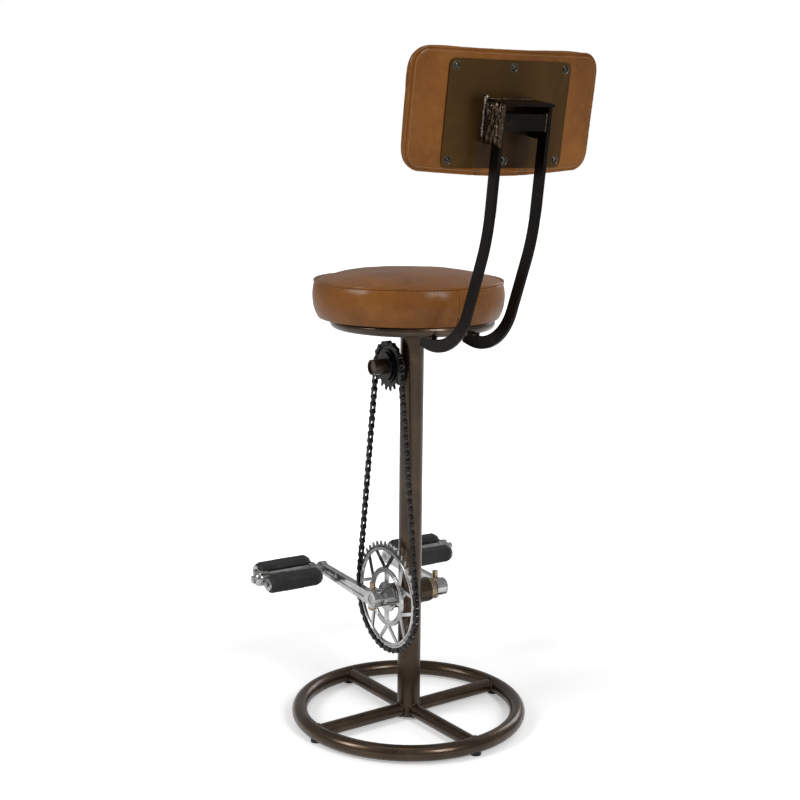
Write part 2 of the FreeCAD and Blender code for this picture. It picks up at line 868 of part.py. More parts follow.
def pedal_rubbers():
    d = pedal_block_half_depth
    h = pedal_block_half_height
    c = pedal_block_chamfer
    lower = [(-d, c - h), (c - d, -h), (d - c, -h), (d, c - h)]
    upper = [(d, h - c), (d - c, h), (c - d, h), (-d, h - c)]
    section = lower + upper
    lo = pedal_inner() + pedal_plate
    blocks = []
    for centre in block_centres():
        points = [V(lo, centre.y + y, centre.z + z) for y, z in section]
        block = Part.Face(Part.makePolygon(points + points[:1])).extrude(V(pedal_block_length, 0, 0))
        block = block.cut(disc(lo, lo + pedal_block_length, centre, pedal_bolt_radius))
        blocks.append(block.cut(disc(lo, lo + pedal_block_length, pedal_place(), pedal_plate_hub)))
    return tilted(Part.makeCompound(blocks))


def pedal_bolts():
    bolts = []
    lo = pedal_inner()
    hi = pedal_outer()
    for centre in block_centres():
        shank = disc(lo - pedal_nut_height, hi + pedal_nut_height, centre, pedal_bolt_radius)
        nuts = [
            hexagon(V(x, centre.y, centre.z), X_AXIS, pedal_nut_radius, pedal_nut_height)
            for x in (lo - pedal_nut_height, hi)
        ]
        bolts.append(joined([shank] + nuts))
    return tilted(Part.makeCompound(bolts))


def pedal_dust_cap():
    eye = pedal_place()
    lo = pedal_outer()
    cap = disc(lo, lo + pedal_cap_length, eye, pedal_cap_radius)
    edge = [e for e in cap.Edges if e.BoundBox.XMin > lo + pedal_cap_length - 0.01]
    cap = cap.makeFillet(pedal_cap_round, edge)
    inside = disc(lo, lo + pedal_cap_length - pedal_cap_wall, eye, pedal_cap_radius - pedal_cap_wall)
    return cap.cut(inside)


# Seat frame
def seat_ring():
    ring = ring_tube(seat_ring_radius, seat_tube_radius, seat_ring_z)
    ring = ring.cut(ring_tube(seat_ring_radius, seat_tube_radius - seat_tube_wall, seat_ring_z))
    for i in range(4):
        a = math.radians(45.0 + 90.0 * i)
        way = V(math.cos(a), math.sin(a), 0)
        start = way * (seat_ring_radius - seat_tube_radius - seat_tube_wall) + V(0, 0, seat_ring_z)
        ring = ring.cut(rod(start, way, seat_vent_radius, seat_tube_radius))
    return ring


def crossbar(x0, x1, y0, y1):
    bar = Part.makeBox(x1 - x0, y1 - y0, crossbar_thickness, V(x0, y0, crossbar_underside))
    return bar.cut(ring_tube(seat_ring_radius, seat_tube_radius, seat_ring_z))


def seat_crossbars():
    """One bar right across the ring along X, and two short ones from it along Y."""
    reach = seat_ring_radius
    half = crossbar_width / 2
    bars = [
        crossbar(-reach, reach, -half, half),
        crossbar(-half, half, half, reach),
        crossbar(-half, half, -reach, -half),
    ]
    whole = Part.makeCompound([inside_ring(bar) for bar in bars])
    return whole.cut(seat_screw_shanks())


def inside_ring(bar):
    """Of a bar that the ring's tube cut, the piece on the inner side."""
    return max(bar.Solids, key=lambda s: s.Volume)


def seat_screw_sites():
    sites = []
    for i in range(4):
        a = math.radians(90.0 * i)
        way = V(math.cos(a), math.sin(a), 0)
        sites.append(way * seat_screw_circle + Z_AXIS * crossbar_underside)
    return sites


def seat_screw_shanks():
    shanks = [rod(site, Z_AXIS, seat_screw_radius, seat_screw_length) for site in seat_screw_sites()]
    return Part.makeCompound(shanks)


def seat_screws():
    screws = []
    for site in seat_screw_sites():
        head = rod(site - Z_AXIS * screw_head_height, Z_AXIS, screw_head_radius, screw_head_height)
        screws.append(joined([head, rod(site, Z_AXIS, seat_screw_radius, seat_screw_length)]))
    return Part.makeCompound(screws)


# Seat
def seat_board():
    board = rod(SEAT, Z_AXIS, seat_board_radius, seat_board_thickness)
    return board.cut(seat_screw_shanks())


def seat_cushion():
    """A crowned round cushion, drawn in below and above its widest line, hollow under for the board."""
    top_edge = seat_radius - seat_piping_inset
    lip = seat_lip_radius
    board = seat_board_radius + soft_gap
    h = seat_side_height
    crown_radius = (top_edge ** 2 + seat_crown ** 2) / (2 * seat_crown)
    half_edge = top_edge / 2
    half_height = h + seat_crown - crown_radius + math.sqrt(crown_radius ** 2 - half_edge ** 2)
    ceiling = seat_board_thickness + soft_gap
    p = [
        V(0, 0, ceiling),
        V(board, 0, ceiling),
        V(board, 0, soft_gap),
        V(lip - seat_lip_width, 0, soft_gap),
        V(lip, 0, -seat_lip_drop),
        V(seat_radius - seat_tuck_inset, 0, seat_tuck_share * h),
        V(seat_radius - seat_flat_inset, 0, seat_flat_share * h),
        V(seat_radius, 0, seat_widest_share * h),
        V(seat_radius - seat_shoulder_inset, 0, seat_shoulder_share * h),
        V(top_edge, 0, h),
        V(half_edge, 0, half_height),
        V(0, 0, h + seat_crown),
    ]
    edges = [Part.LineSegment(p[i], p[i + 1]).toShape() for i in range(4)]
    edges.append(Part.Arc(p[4], p[5], p[6]).toShape())
    edges.append(Part.Arc(p[6], p[7], p[8]).toShape())
    edges.append(Part.LineSegment(p[8], p[9]).toShape())
    edges.append(Part.Arc(p[9], p[10], p[11]).toShape())
    edges.append(Part.LineSegment(p[11], p[0]).toShape())
    cushion = Part.Face(Part.Wire(edges)).revolve(V(0, 0, 0), Z_AXIS, 360)
    cushion.translate(SEAT)
    return cushion.cut(seat_piping_tube(seat_piping_radius + piping_gap))


def seat_piping_tube(radius):
    centre = SEAT + Z_AXIS * seat_side_height
    return Part.makeTorus(seat_radius - seat_piping_inset, radius, centre, Z_AXIS)


def seat_piping():
    return seat_piping_tube(seat_piping_radius)


# Arms
def arm(x):
    """A flat bar on edge, from under the seat ring round and up to the bracket's flange."""
    lean = math.radians(arm_top_lean)
    lower_lean = math.radians(arm_lower_lean)
    rise = math.radians(arm_foot_rise)
    top_bend = V(x, arm_top_bend_y, arm_top_bend_z)
    drop = arm_top_bend_z - arm_low_bend_z
    low_bend = top_bend - V(0, drop * math.tan(lower_lean), drop)
    up = back_centre_z + bracket_top + arm_depth - arm_top_bend_z
    top = top_bend + V(0, up * math.tan(lean), up)
    reach = low_bend.y - arm_foot_y
    foot = low_bend + V(0, -reach, reach * math.tan(rise))
    path = [top, top_bend, low_bend, foot]
    bar = bent_bar(path, [arm_top_bend_radius, arm_low_bend_radius], arm_depth, arm_thickness, x)
    bar = bar.cut(ring_tube(seat_ring_radius, seat_tube_radius, seat_ring_z)).cut(above_flange())
    return max(bar.Solids, key=lambda s: s.Volume)


def above_flange():
    """The space over the underside of the bracket's flange, which ends the arms."""
    corner = V(-arm_spacing, -back_margin, bracket_top - bracket_sheet)
    block = Part.makeBox(2 * arm_spacing, back_reach, back_reach, corner)
    return on_backrest(block)


def back_arm_left():
    return arm(arm_x)


def back_arm_right():
    return arm(-arm_x)


# Backrest, built upright with the plate's rear face at Y = 0 in the middle, then reclined
def on_backrest(shape):
    copy = shape.copy()
    copy.rotate(V(0, 0, 0), X_AXIS, -back_recline)
    copy.translate(V(0, back_centre_y, back_centre_z))
    return copy


def curved_slab(front, rear):
    """The space between two depths behind or before the plate's rear face, curved with the back."""
    centre = V(0, -back_curve_radius, -back_reach / 2)
    outer = rod(centre, Z_AXIS, back_curve_radius + rear, back_reach)
    return outer.cut(rod(centre, Z_AXIS, back_curve_radius + front, back_reach))


def plate_outline(width, height, corner, depth):
    w = width / 2
    h = height / 2
    corners = [V(-w, -depth, h), V(w, -depth, h), V(w, -depth, -h), V(-w, -depth, -h)]
    return Part.Face(rounded_wire(corners, [corner] * 4)).extrude(V(0, 2 * depth, 0))


def back_screw_sites():
    across = back_screw_across / 2
    return [(x, side * back_screw_rise / 2) for side in (1, -1) for x in (-across, 0, across)]


def screw_base(x):
    """How far forward the curved plate lies at x."""
    return math.sqrt(back_curve_radius ** 2 - x ** 2) - back_curve_radius


def back_screw_shanks():
    shanks = []
    for x, z in back_screw_sites():
        start = V(x, screw_base(x) - back_screw_length, z)
        shanks.append(rod(start, Y_AXIS, back_screw_radius, back_screw_length + back_head_sink))
    return Part.makeCompound(shanks)


def back_plate():
    plate = plate_outline(back_plate_width, back_plate_height, back_plate_corner, back_space)
    plate = plate.common(curved_slab(-back_plate_thickness, 0)).cut(back_screw_shanks())
    return on_backrest(plate)


def back_plate_screws():
    screws = []
    for x, z in back_screw_sites():
        base = screw_base(x)
        start = V(x, base - back_head_sink, z)
        head = rod(start, Y_AXIS, back_head_radius, back_head_height + back_head_sink)
        head = head.cut(curved_slab(-back_margin, 0))
        start = V(x, base - back_screw_length, z)
        shank = rod(start, Y_AXIS, back_screw_radius, back_screw_length + back_head_sink)
        screws.append(joined([head, shank]))
    return on_backrest(Part.makeCompound(screws))


def pad_corners(inset, depth):
    """The pad's outline moved in by inset: two upper corners, two lower ones and the bowed middle."""
    w = pad_width / 2
    slope = math.atan2(pad_middle_drop - pad_corner_drop, w)
    lift = inset / math.cos(slope)
    low = -pad_corner_drop + lift - inset * math.tan(slope)
    corners = [
        V(-w + inset, depth, pad_top - inset),
        V(w - inset, depth, pad_top - inset),
        V(w - inset, depth, low),
        V(0, depth, -pad_middle_drop + lift),
        V(-w + inset, depth, low),
    ]
    corner = max(pad_corner_radius - inset, pad_least_corner)
    return rounded_wire(corners, [corner, corner, corner, pad_bow_radius, corner])


def pad_prism(inset, front, rear):
    return Part.Face(pad_corners(inset, front)).extrude(V(0, rear - front, 0))


def pad_layer(inset, front, rear):
    """A curved layer of the pad between two depths, its outline moved in by inset."""
    return pad_prism(inset, -back_space, back_margin).common(curved_slab(front, rear))


def panel_front():
    return -back_plate_thickness - pad_panel_thickness


def board_front():
    return panel_front() - pad_board_thickness


def backrest_back_panel():
    panel = pad_layer(pad_panel_inset, panel_front(), -back_plate_thickness)
    return on_backrest(panel.cut(back_screw_shanks()))


def backrest_board():
    board = pad_layer(pad_board_inset, board_front(), panel_front())
    return on_backrest(board.cut(back_screw_shanks()))


def crown_space():
    """The space behind the pad's front, which is crowned between its top and bottom edges."""
    rise = (pad_top + pad_corner_drop) / 2
    radius = (rise ** 2 + pad_crown ** 2) / (2 * pad_crown)
    front = -back_plate_thickness - pad_thickness
    centre = V(-pad_width, front + radius, (pad_top - pad_corner_drop) / 2)
    return rod(centre, X_AXIS, radius, 2 * pad_width)


def backrest_cushion():
    """A crowned pad with a full front edge, drawn in at the rear and open there for its board."""
    rear = -back_plate_thickness
    body = pad_layer(0, -back_space, rear - pad_piping_depth).common(crown_space())
    front_edges = [e for e in body.Edges if is_front_edge(e)]
    body = body.makeFillet(pad_front_round, front_edges)
    rear_edges = [e for e in body.Edges if is_rear_edge(e)]
    body = body.makeFillet(pad_rear_round, rear_edges)
    recess = pad_layer(pad_board_inset - soft_gap, board_front() - soft_gap, back_margin)
    return on_backrest(body.cut(recess))


def is_front_edge(edge):
    """True for the loop where the pad's sides meet its crowned front."""
    box = edge.BoundBox
    in_front = box.YMax < -back_plate_thickness - pad_thickness / 2
    return in_front and box.YMax - box.YMin < pad_thickness / 2


def is_rear_edge(edge):
    """True for the loop where the pad's sides meet its curved back."""
    depth = back_plate_thickness + pad_piping_depth
    return all(abs(depth_behind(v.Point) + depth) < 0.01 for v in edge.Vertexes)


def depth_behind(point):
    """How far behind the curved rear face of the back plate a point lies."""
    return math.hypot(point.x, point.y + back_curve_radius) - back_curve_radius


def backrest_piping():
    rear = -back_plate_thickness
    strip = pad_layer(pad_piping_inset, rear - pad_piping_depth, rear)
    return on_backrest(strip.cut(pad_prism(pad_panel_inset - pad_panel_play, -back_space, back_margin)))


# Bracket
def bracket_flange():
    w = arm_x + arm_thickness / 2
    height = bracket_top - bracket_sheet
    corner = V(-w, -back_margin, height)
    flange = Part.makeBox(2 * w, bracket_reach + back_margin, bracket_sheet, corner)
    return on_backrest(flange.cut(curved_slab(-back_space, 0)))


def bracket_side(x):
    """A plate in the plane of the arm, from the back plate to the arm's front edge."""
    height = bracket_top - bracket_sheet + bracket_drop
    corner = V(x - arm_thickness / 2, -back_margin, -bracket_drop)
    side = Part.makeBox(arm_thickness, bracket_reach + back_margin, height, corner)
    side = on_backrest(side.cut(curved_slab(-back_space, 0))).cut(arm(x))
    return min(side.Solids, key=lambda s: s.CenterOfMass.y)


def bracket_side_plates():
    return Part.makeCompound([bracket_side(x) for x in (arm_x, -arm_x)])


def arm_rear_line(z):
    """How far back the rear edges of the arms are at a height."""
    lean = math.radians(arm_top_lean)
    return arm_top_bend_y + (z - arm_top_bend_z) * math.tan(lean) + arm_depth / 2 / math.cos(lean)


def arm_crossbar():
    inner = arm_x - arm_thickness / 2
    z = back_centre_z + arm_crossbar_top - arm_crossbar_height
    y = arm_rear_line(z) - arm_crossbar_set_back - arm_crossbar_thickness
    bar = Part.makeBox(2 * inner, arm_crossbar_thickness, arm_crossbar_height, V(-inner, y, z))
    return turned(bar, V(0, y, z), X_AXIS, -arm_top_lean)


def write(name, shape):
    shape.exportStep("parts/" + name + ".step")


def main():
    os.makedirs("parts", exist_ok=True)
    nodes = {
        "base_ring": base_ring(),
        "base_feet": base_feet(),
        "pole": pole(),
        "bb_shell": bb_shell(),
        "bb_cup_chain_side": bb_cup_chain_side(),
        "bb_cup_plain_side": bb_cup_plain_side(),
        "bb_lock_ring": bb_lock_ring(),
        "bb_balls": bb_balls(),
        "bb_axle": bb_axle(),
        "chainring": chainring(),
        "crank_left": crank_left(),
        "crank_right": crank_right(),
        "cotter_pins": cotter_pins(),
        "cotter_nuts": cotter_nuts(),
        "sprocket_boss": sprocket_boss(),
        "boss_cap": boss_cap(),
        "freewheel_core": freewheel_core(),
        "freewheel_sprocket": freewheel_sprocket(),
        "freewheel_balls": freewheel_balls(),
        "freewheel_lock_ring": freewheel_lock_ring(),
        "chain_outer_links": chain_outer_links(),
        "chain_inner_links": chain_inner_links(),
        "chain_rollers": chain_rollers(),
        "seat_ring": seat_ring(),
        "seat_crossbars": seat_crossbars(),
        "seat_screws": seat_screws(),
        "seat_board": seat_board(),
        "seat_cushion": seat_cushion(),
        "seat_piping": seat_piping(),
        "back_arm_left": back_arm_left(),
        "back_arm_right": back_arm_right(),
        "arm_crossbar": arm_crossbar(),
        "bracket_flange": bracket_flange(),
        "bracket_side_plates": bracket_side_plates(),
        "back_plate": back_plate(),
        "back_plate_screws": back_plate_screws(),
        "backrest_back_panel": backrest_back_panel(),
        "backrest_board": backrest_board(),
        "backrest_cushion": backrest_cushion(),
        "backrest_piping": backrest_piping(),
    }
    for name, angle in zip(("left", "back", "right", "front"), spoke_angles()):
        nodes["base_spoke_" + name] = base_spoke(angle)
    pedal = {
        "axle": pedal_axle(),
        "barrel": pedal_barrel(),
        "inner_plate": pedal_inner_plate(),
        "outer_plate": pedal_outer_plate(),
        "rubbers": pedal_rubbers(),
        "bolts": pedal_bolts(),
        "dust_cap": pedal_dust_cap(),
    }
    shift = V(crank_right_face + crank_left_face - 2 * bb_x, 0, 0)
    for name, shape in pedal.items():
        nodes["left_pedal_" + name] = shape
        other = mirrored(shape)
        other.translate(shift)
        nodes["right_pedal_" + name] = other
    for name, shape in nodes.items():
        write(name, shape)


main()
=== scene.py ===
import json
import math

import bmesh
import bpy
from mathutils import Matrix, Vector, noise
from mathutils.bvhtree import BVHTree

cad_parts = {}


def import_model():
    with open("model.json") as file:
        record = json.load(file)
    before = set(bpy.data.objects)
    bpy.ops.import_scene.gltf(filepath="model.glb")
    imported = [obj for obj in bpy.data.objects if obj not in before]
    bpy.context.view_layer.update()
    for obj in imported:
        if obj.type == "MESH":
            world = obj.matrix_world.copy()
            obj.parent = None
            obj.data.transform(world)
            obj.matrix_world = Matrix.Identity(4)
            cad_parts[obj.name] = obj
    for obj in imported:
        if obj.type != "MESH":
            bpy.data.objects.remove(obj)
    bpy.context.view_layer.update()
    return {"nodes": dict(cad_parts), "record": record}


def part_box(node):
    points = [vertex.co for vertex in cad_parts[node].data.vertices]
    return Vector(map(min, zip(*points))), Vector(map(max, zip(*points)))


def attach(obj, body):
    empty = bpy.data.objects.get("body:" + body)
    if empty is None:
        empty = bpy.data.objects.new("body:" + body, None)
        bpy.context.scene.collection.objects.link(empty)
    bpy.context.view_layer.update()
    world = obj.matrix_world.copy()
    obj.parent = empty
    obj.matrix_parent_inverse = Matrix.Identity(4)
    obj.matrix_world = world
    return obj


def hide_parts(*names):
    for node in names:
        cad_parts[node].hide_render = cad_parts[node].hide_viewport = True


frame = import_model()

MM = 0.001
X = Vector((1, 0, 0))
Z = Vector((0, 0, 1))


# Sizes, in metres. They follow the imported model.
def mid(node):
    lo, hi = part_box(node)
    return (Vector(lo) + Vector(hi)) / 2


def span(node):
    lo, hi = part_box(node)
    return Vector(hi) - Vector(lo)


BB = mid("chainring")
SPROCKET = mid("sprocket_boss")
POLE_RADIUS = span("pole").x / 2
BASE_Z = mid("base_ring").z
TUBE_RADIUS = span("base_ring").z / 2
RING_RADIUS = span("base_ring").x / 2 - TUBE_RADIUS
SPOKE_RADIUS = span("base_spoke_left").z / 2
SEAT = mid("seat_board")
SEAT_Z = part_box("seat_board")[0][2]
SEAT_RADIUS = span("seat_cushion").x / 2
SEAT_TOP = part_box("seat_cushion")[1][2]
SEAT_SIDE = 55 * MM
SEAT_LIP = 143.5 * MM
SEAT_LIP_DROP = 4.2 * MM
SEAT_RECESS = 12.3 * MM
SEAT_PIPING_INSET = 4.5 * MM
BOARD_GAP = 0.3 * MM
BACK_CENTRE = Vector((0, 245.5, 987.9)) * MM
BACK_CURVE = 1090 * MM
PAD_WIDTH = 322 * MM
PAD_TOP = 88.5 * MM
PAD_CORNER_DROP = 79 * MM
PAD_MIDDLE_DROP = 88 * MM
PAD_CORNER = 27 * MM
PAD_LEAST_CORNER = 9 * MM
PAD_BOW = 1000 * MM
PAD_THICKNESS = 36 * MM
PAD_CROWN = 9 * MM
PAD_ROUND = 13 * MM
PLATE_THICKNESS = 2 * MM
PANEL_DEPTH = 3.2 * MM
PLATE_SCREW_Z = 64.8 * MM
PLATE_SCREW_RADIUS = 4.6 * MM
BRACKET_TOP = 22 * MM
BRACKET_DROP = 30 * MM
BRACKET_SHEET = 4 * MM
BRACKET_REACH = 47 * MM
ARM_X = 40 * MM
ARM_HALF = 3 * MM
PEDAL_EYE = mid("left_pedal_axle")
BLOCK_HALF_DEPTH = 12.5 * MM
BLOCK_HALF_HEIGHT = 14.5 * MM
BLOCK_CHAMFER = 6 * MM
BLOCK_OFFSET = 22.5 * MM

# Turns, in degrees
SPOKE_TURN = 3.0
SEAT_SEAM_TURN = 2.8
BACK_RECLINE = 8.7
PEDAL_TILT = 14.0

# How steeply the seat's crown rounds off, and how many points go round the pad
SEAT_CROWN_POWER = 3.3
PAD_POINTS = 240

# The camera stands at the photograph's angle
CAMERA_PLACE = (1.2148, 1.8814, 0.9564)
CAMERA_RIGHT = Vector((-0.8454, 0.534, 0.0086))
CAMERA_UP = Vector((-0.0906, -0.1593, 0.9831))
CAMERA_LENS = 63.63
CAMERA_SENSOR = 36.0


def make_camera():
    data = bpy.data.cameras.new("camera")
    camera = bpy.data.objects.new("camera", data)
    bpy.context.collection.objects.link(camera)
    data.sensor_width = CAMERA_SENSOR
    data.lens = CAMERA_LENS
    data.clip_start = 0.05
    back = CAMERA_RIGHT.cross(CAMERA_UP).normalized()
    up = back.cross(CAMERA_RIGHT).normalized()
    turn = Matrix((CAMERA_RIGHT.normalized(), up, back)).transposed().to_4x4()
    camera.matrix_world = Matrix.Translation(CAMERA_PLACE) @ turn
    bpy.context.scene.camera = camera


# Node helpers
class Nodes:
    """A material and short calls that add its nodes."""

    def __init__(self, name):
        self.material = bpy.data.materials.new(name)
        self.material.use_nodes = True
        self.tree = self.material.node_tree
        self.bsdf = self.tree.nodes["Principled BSDF"]
        self.coords = self.add("ShaderNodeTexCoord").outputs["Object"]

    def add(self, kind):
        return self.tree.nodes.new(kind)

    def link(self, a, b):
        self.tree.links.new(a, b)

    def set(self, **values):
        for key, value in values.items():
            self.bsdf.inputs[key.replace("_", " ")].default_value = value

    def scaled(self, x, y, z):
        node = self.add("ShaderNodeMapping")
        node.inputs["Scale"].default_value = (x, y, z)
        self.link(self.coords, node.inputs["Vector"])
        return node.outputs["Vector"]

    def noise(self, scale, detail=4.0, roughness=0.55, distortion=0.0, coords=None):
        node = self.add("ShaderNodeTexNoise")
        node.inputs["Scale"].default_value = scale
        node.inputs["Detail"].default_value = detail
        node.inputs["Roughness"].default_value = roughness
        node.inputs["Distortion"].default_value = distortion
        self.link(coords or self.coords, node.inputs["Vector"])
        return node.outputs["Fac"]

    def cells(self, scale):
        node = self.add("ShaderNodeTexVoronoi")
        node.feature = "DISTANCE_TO_EDGE"
        node.inputs["Scale"].default_value = scale
        self.link(self.coords, node.inputs["Vector"])
        return node.outputs["Distance"]

    def ramp(self, source, stops):
        node = self.add("ShaderNodeValToRGB")
        elements = node.color_ramp.elements
        while len(elements) < len(stops):
            elements.new(0.5)
        for element, (place, colour) in zip(elements, stops):
            element.position = place
            element.color = (*colour, 1.0)
        self.link(source, node.inputs["Fac"])
        return node.outputs["Color"]

    def grey(self, source, low, high, start=0.3, end=0.7):
        node = self.add("ShaderNodeMapRange")
        node.inputs["From Min"].default_value = start
        node.inputs["From Max"].default_value = end
        node.inputs["To Min"].default_value = low
        node.inputs["To Max"].default_value = high
        self.link(source, node.inputs["Value"])
        return node.outputs["Result"]

    def mix(self, factor, a, b, blend="MIX"):
        node = self.add("ShaderNodeMix")
        node.data_type = "RGBA"
        node.blend_type = blend
        for value, socket in ((factor, node.inputs[0]), (a, node.inputs[6]), (b, node.inputs[7])):
            if isinstance(value, (int, float)):
                socket.default_value = value
            elif isinstance(value, tuple):
                socket.default_value = (*value, 1.0)
            else:
                self.link(value, socket)
        return node.outputs[2]

    def sum(self, a, b, weight):
        node = self.add("ShaderNodeMath")
        node.operation = "MULTIPLY_ADD"
        self.link(b, node.inputs[0])
        node.inputs[1].default_value = weight
        self.link(a, node.inputs[2])
        return node.outputs[0]

    def near(self, point, inner, outer):
        """1 within inner of a point, falling to 0 at outer."""
        node = self.add("ShaderNodeVectorMath")
        node.operation = "DISTANCE"
        self.link(self.coords, node.inputs[0])
        node.inputs[1].default_value = point
        return self.grey(node.outputs["Value"], 1.0, 0.0, inner, outer)

    def bump(self, height, distance, strength=1.0):
        node = self.add("ShaderNodeBump")
        node.inputs["Strength"].default_value = strength
        node.inputs["Distance"].default_value = distance
        self.link(height, node.inputs["Height"])
        self.link(node.outputs["Normal"], self.bsdf.inputs["Normal"])

    def colour(self, source):
        self.link(source, self.bsdf.inputs["Base Color"])

    def rough(self, source):
        self.link(source, self.bsdf.inputs["Roughness"])


# Materials
def leather():
    """Waxed tan leather: cloudy colour with random lighter blotches and darker scuffs, and a fine pebbled
    grain.
    """
    m = Nodes("tan_leather")
    cloud = m.noise(9.0, 5.0, 0.6, 0.6)
    base = m.ramp(cloud, [
        (0.3, (0.135, 0.044, 0.005)),
        (0.52, (0.185, 0.064, 0.008)),
        (0.72, (0.24, 0.09, 0.013)),
    ])
    blotch = m.noise(38.0, 6.0, 0.65, 1.2)
    base = m.mix(m.grey(blotch, 0.0, 0.4, 0.5, 0.72), base, (0.28, 0.112, 0.018))
    scuff = m.noise(120.0, 8.0, 0.7, 2.0)
    base = m.mix(m.grey(scuff, 0.0, 0.45, 0.56, 0.7), base, (0.11, 0.04, 0.008))
    m.colour(base)
    m.rough(m.grey(blotch, 0.33, 0.47))
    grain = m.cells(520.0)
    pores = m.noise(1500.0, 2.0)
    creases = m.noise(26.0, 6.0, 0.6, 1.8)
    height = m.sum(m.sum(m.grey(grain, 0.0, 1.0, 0.0, 0.12), pores, 0.35), creases, 2.2)
    m.bump(height, 0.00022, 0.75)
    m.set(Coat_Weight=0.26, Coat_Roughness=0.2, Specular_IOR_Level=0.1)
    return m.material


def thread():
    m = Nodes("tan_thread")
    m.colour(m.ramp(m.noise(300.0), [(0.3, (0.3, 0.16, 0.07)), (0.7, (0.42, 0.24, 0.11))]))
    m.bump(m.noise(2500.0), 0.0002)
    m.set(Roughness=0.7)
    return m.material


def bronze_paint():
    """Dark bronze lacquer over welded tube, with a warm flake and small runs."""
    m = Nodes("bronze_paint")
    drift = m.noise(14.0, 5.0, 0.6, 0.8)
    base = m.ramp(drift, [
        (0.3, (0.034, 0.021, 0.012)),
        (0.55, (0.062, 0.038, 0.021)),
        (0.75, (0.10, 0.060, 0.032)),
    ])
    spots = m.noise(420.0, 3.0, 0.6)
    base = m.mix(m.grey(spots, 0.0, 0.5, 0.6, 0.72), base, (0.015, 0.009, 0.006))
    m.colour(base)
    m.rough(m.grey(m.noise(60.0, 5.0), 0.24, 0.36))
    m.bump(m.sum(m.noise(180.0, 2.0), m.noise(700.0, 2.0), 0.3), 0.00012, 0.5)
    m.set(Metallic=0.85, Coat_Weight=0.35, Coat_Roughness=0.16)
    return m.material


def black_paint():
    """Near-black lacquer with brown showing through where it is thin."""
    m = Nodes("black_paint")
    thin = m.noise(30.0, 6.0, 0.65, 1.0)
    m.colour(m.ramp(thin, [
        (0.35, (0.0035, 0.0025, 0.002)),
        (0.62, (0.008, 0.005, 0.0035)),
        (0.8, (0.04, 0.021, 0.011)),
    ]))
    m.rough(m.grey(m.noise(90.0, 5.0), 0.3, 0.46))
    m.bump(m.noise(260.0, 3.0), 0.00015, 0.5)
    m.set(Metallic=0.9, Coat_Weight=0.05, Coat_Roughness=0.2)
    return m.material


def aged_plate():
    """Brown-green lacquered sheet, darker round a spot just below the bracket, and red-brown there from the
    heat of the welds.
    """
    m = Nodes("aged_plate")
    streak = m.noise(6.0, 6.0, 0.6, 0.9, m.scaled(1.0, 1.0, 0.35))
    base = m.ramp(streak, [
        (0.3, (0.038, 0.018, 0.003)),
        (0.5, (0.066, 0.032, 0.006)),
        (0.7, (0.108, 0.056, 0.012)),
    ])
    below_bracket = BACK_CENTRE + Vector((0, 0, -0.05))
    # Darker round a spot just below the bracket, its edge broken up by noise.
    darker_below_bracket = m.near(below_bracket, 0.015, 0.06)
    darker_below_bracket_edge = m.mix(0.5, darker_below_bracket, m.noise(30.0, 5.0), "MULTIPLY")
    base = m.mix(m.grey(darker_below_bracket_edge, 0.0, 0.85, 0.05, 0.4), base, (0.016, 0.009, 0.005))
    tint = m.near(below_bracket, 0.005, 0.05)
    base = m.mix(m.grey(tint, 0.0, 0.55, 0.1, 0.9), base, (0.055, 0.022, 0.007))
    m.colour(base)
    m.rough(m.grey(m.noise(24.0, 6.0), 0.3, 0.46))
    brushed = m.noise(90.0, 4.0, 0.6, 0.0, m.scaled(1.0, 1.0, 9.0))
    m.bump(m.sum(m.noise(60.0, 4.0), brushed, 0.4), 0.00018, 0.5)
    m.set(Metallic=0.85, Coat_Weight=0.06, Coat_Roughness=0.25)
    return m.material


def metal(name, dark, light, rough_low, rough_high, scale=40.0, bump=0.00008):
    """Bare or plated metal whose polish and colour vary from place to place."""
    m = Nodes(name)
    m.colour(m.ramp(m.noise(scale, 6.0, 0.62, 0.7), [(0.32, dark), (0.68, light)]))
    m.rough(m.grey(m.noise(scale * 2.3, 6.0, 0.6), rough_low, rough_high))
    m.bump(m.sum(m.noise(scale * 4, 4.0), m.noise(scale * 22, 2.0), 0.4), bump, 0.6)
    m.set(Metallic=1.0)
    return m.material


def rubber():
    m = Nodes("black_rubber")
    dust = m.noise(55.0, 6.0, 0.6)
    m.colour(m.ramp(dust, [(0.35, (0.006, 0.006, 0.0065)), (0.7, (0.018, 0.0185, 0.02))]))
    m.rough(m.grey(dust, 0.42, 0.6))
    m.bump(m.noise(1100.0, 3.0), 0.0002, 0.6)
    m.set(Specular_IOR_Level=0.4)
    return m.material


def plywood():
    m = Nodes("plywood")
    grain = m.noise(18.0, 6.0, 0.6, 0.4, m.scaled(0.6, 7.0, 7.0))
    m.colour(m.ramp(grain, [(0.35, (0.30, 0.18, 0.09)), (0.65, (0.45, 0.31, 0.17))]))
    m.bump(m.noise(160.0, 4.0, 0.6, 0.0, m.scaled(0.4, 6.0, 6.0)), 0.0003, 0.5)
    m.set(Roughness=0.7)
    return m.material


def weld_metal(name, dark, light, rough_low, rough_high):
    """Lacquered weld metal, brighter where it was rubbed."""
    m = Nodes(name)
    m.colour(m.ramp(m.noise(220.0, 5.0, 0.6), [(0.35, dark), (0.65, light)]))
    m.rough(m.grey(m.noise(300.0), rough_low, rough_high))
    m.bump(m.noise(900.0, 3.0), 0.0002, 0.7)
    m.set(Metallic=0.9)
    return m.material


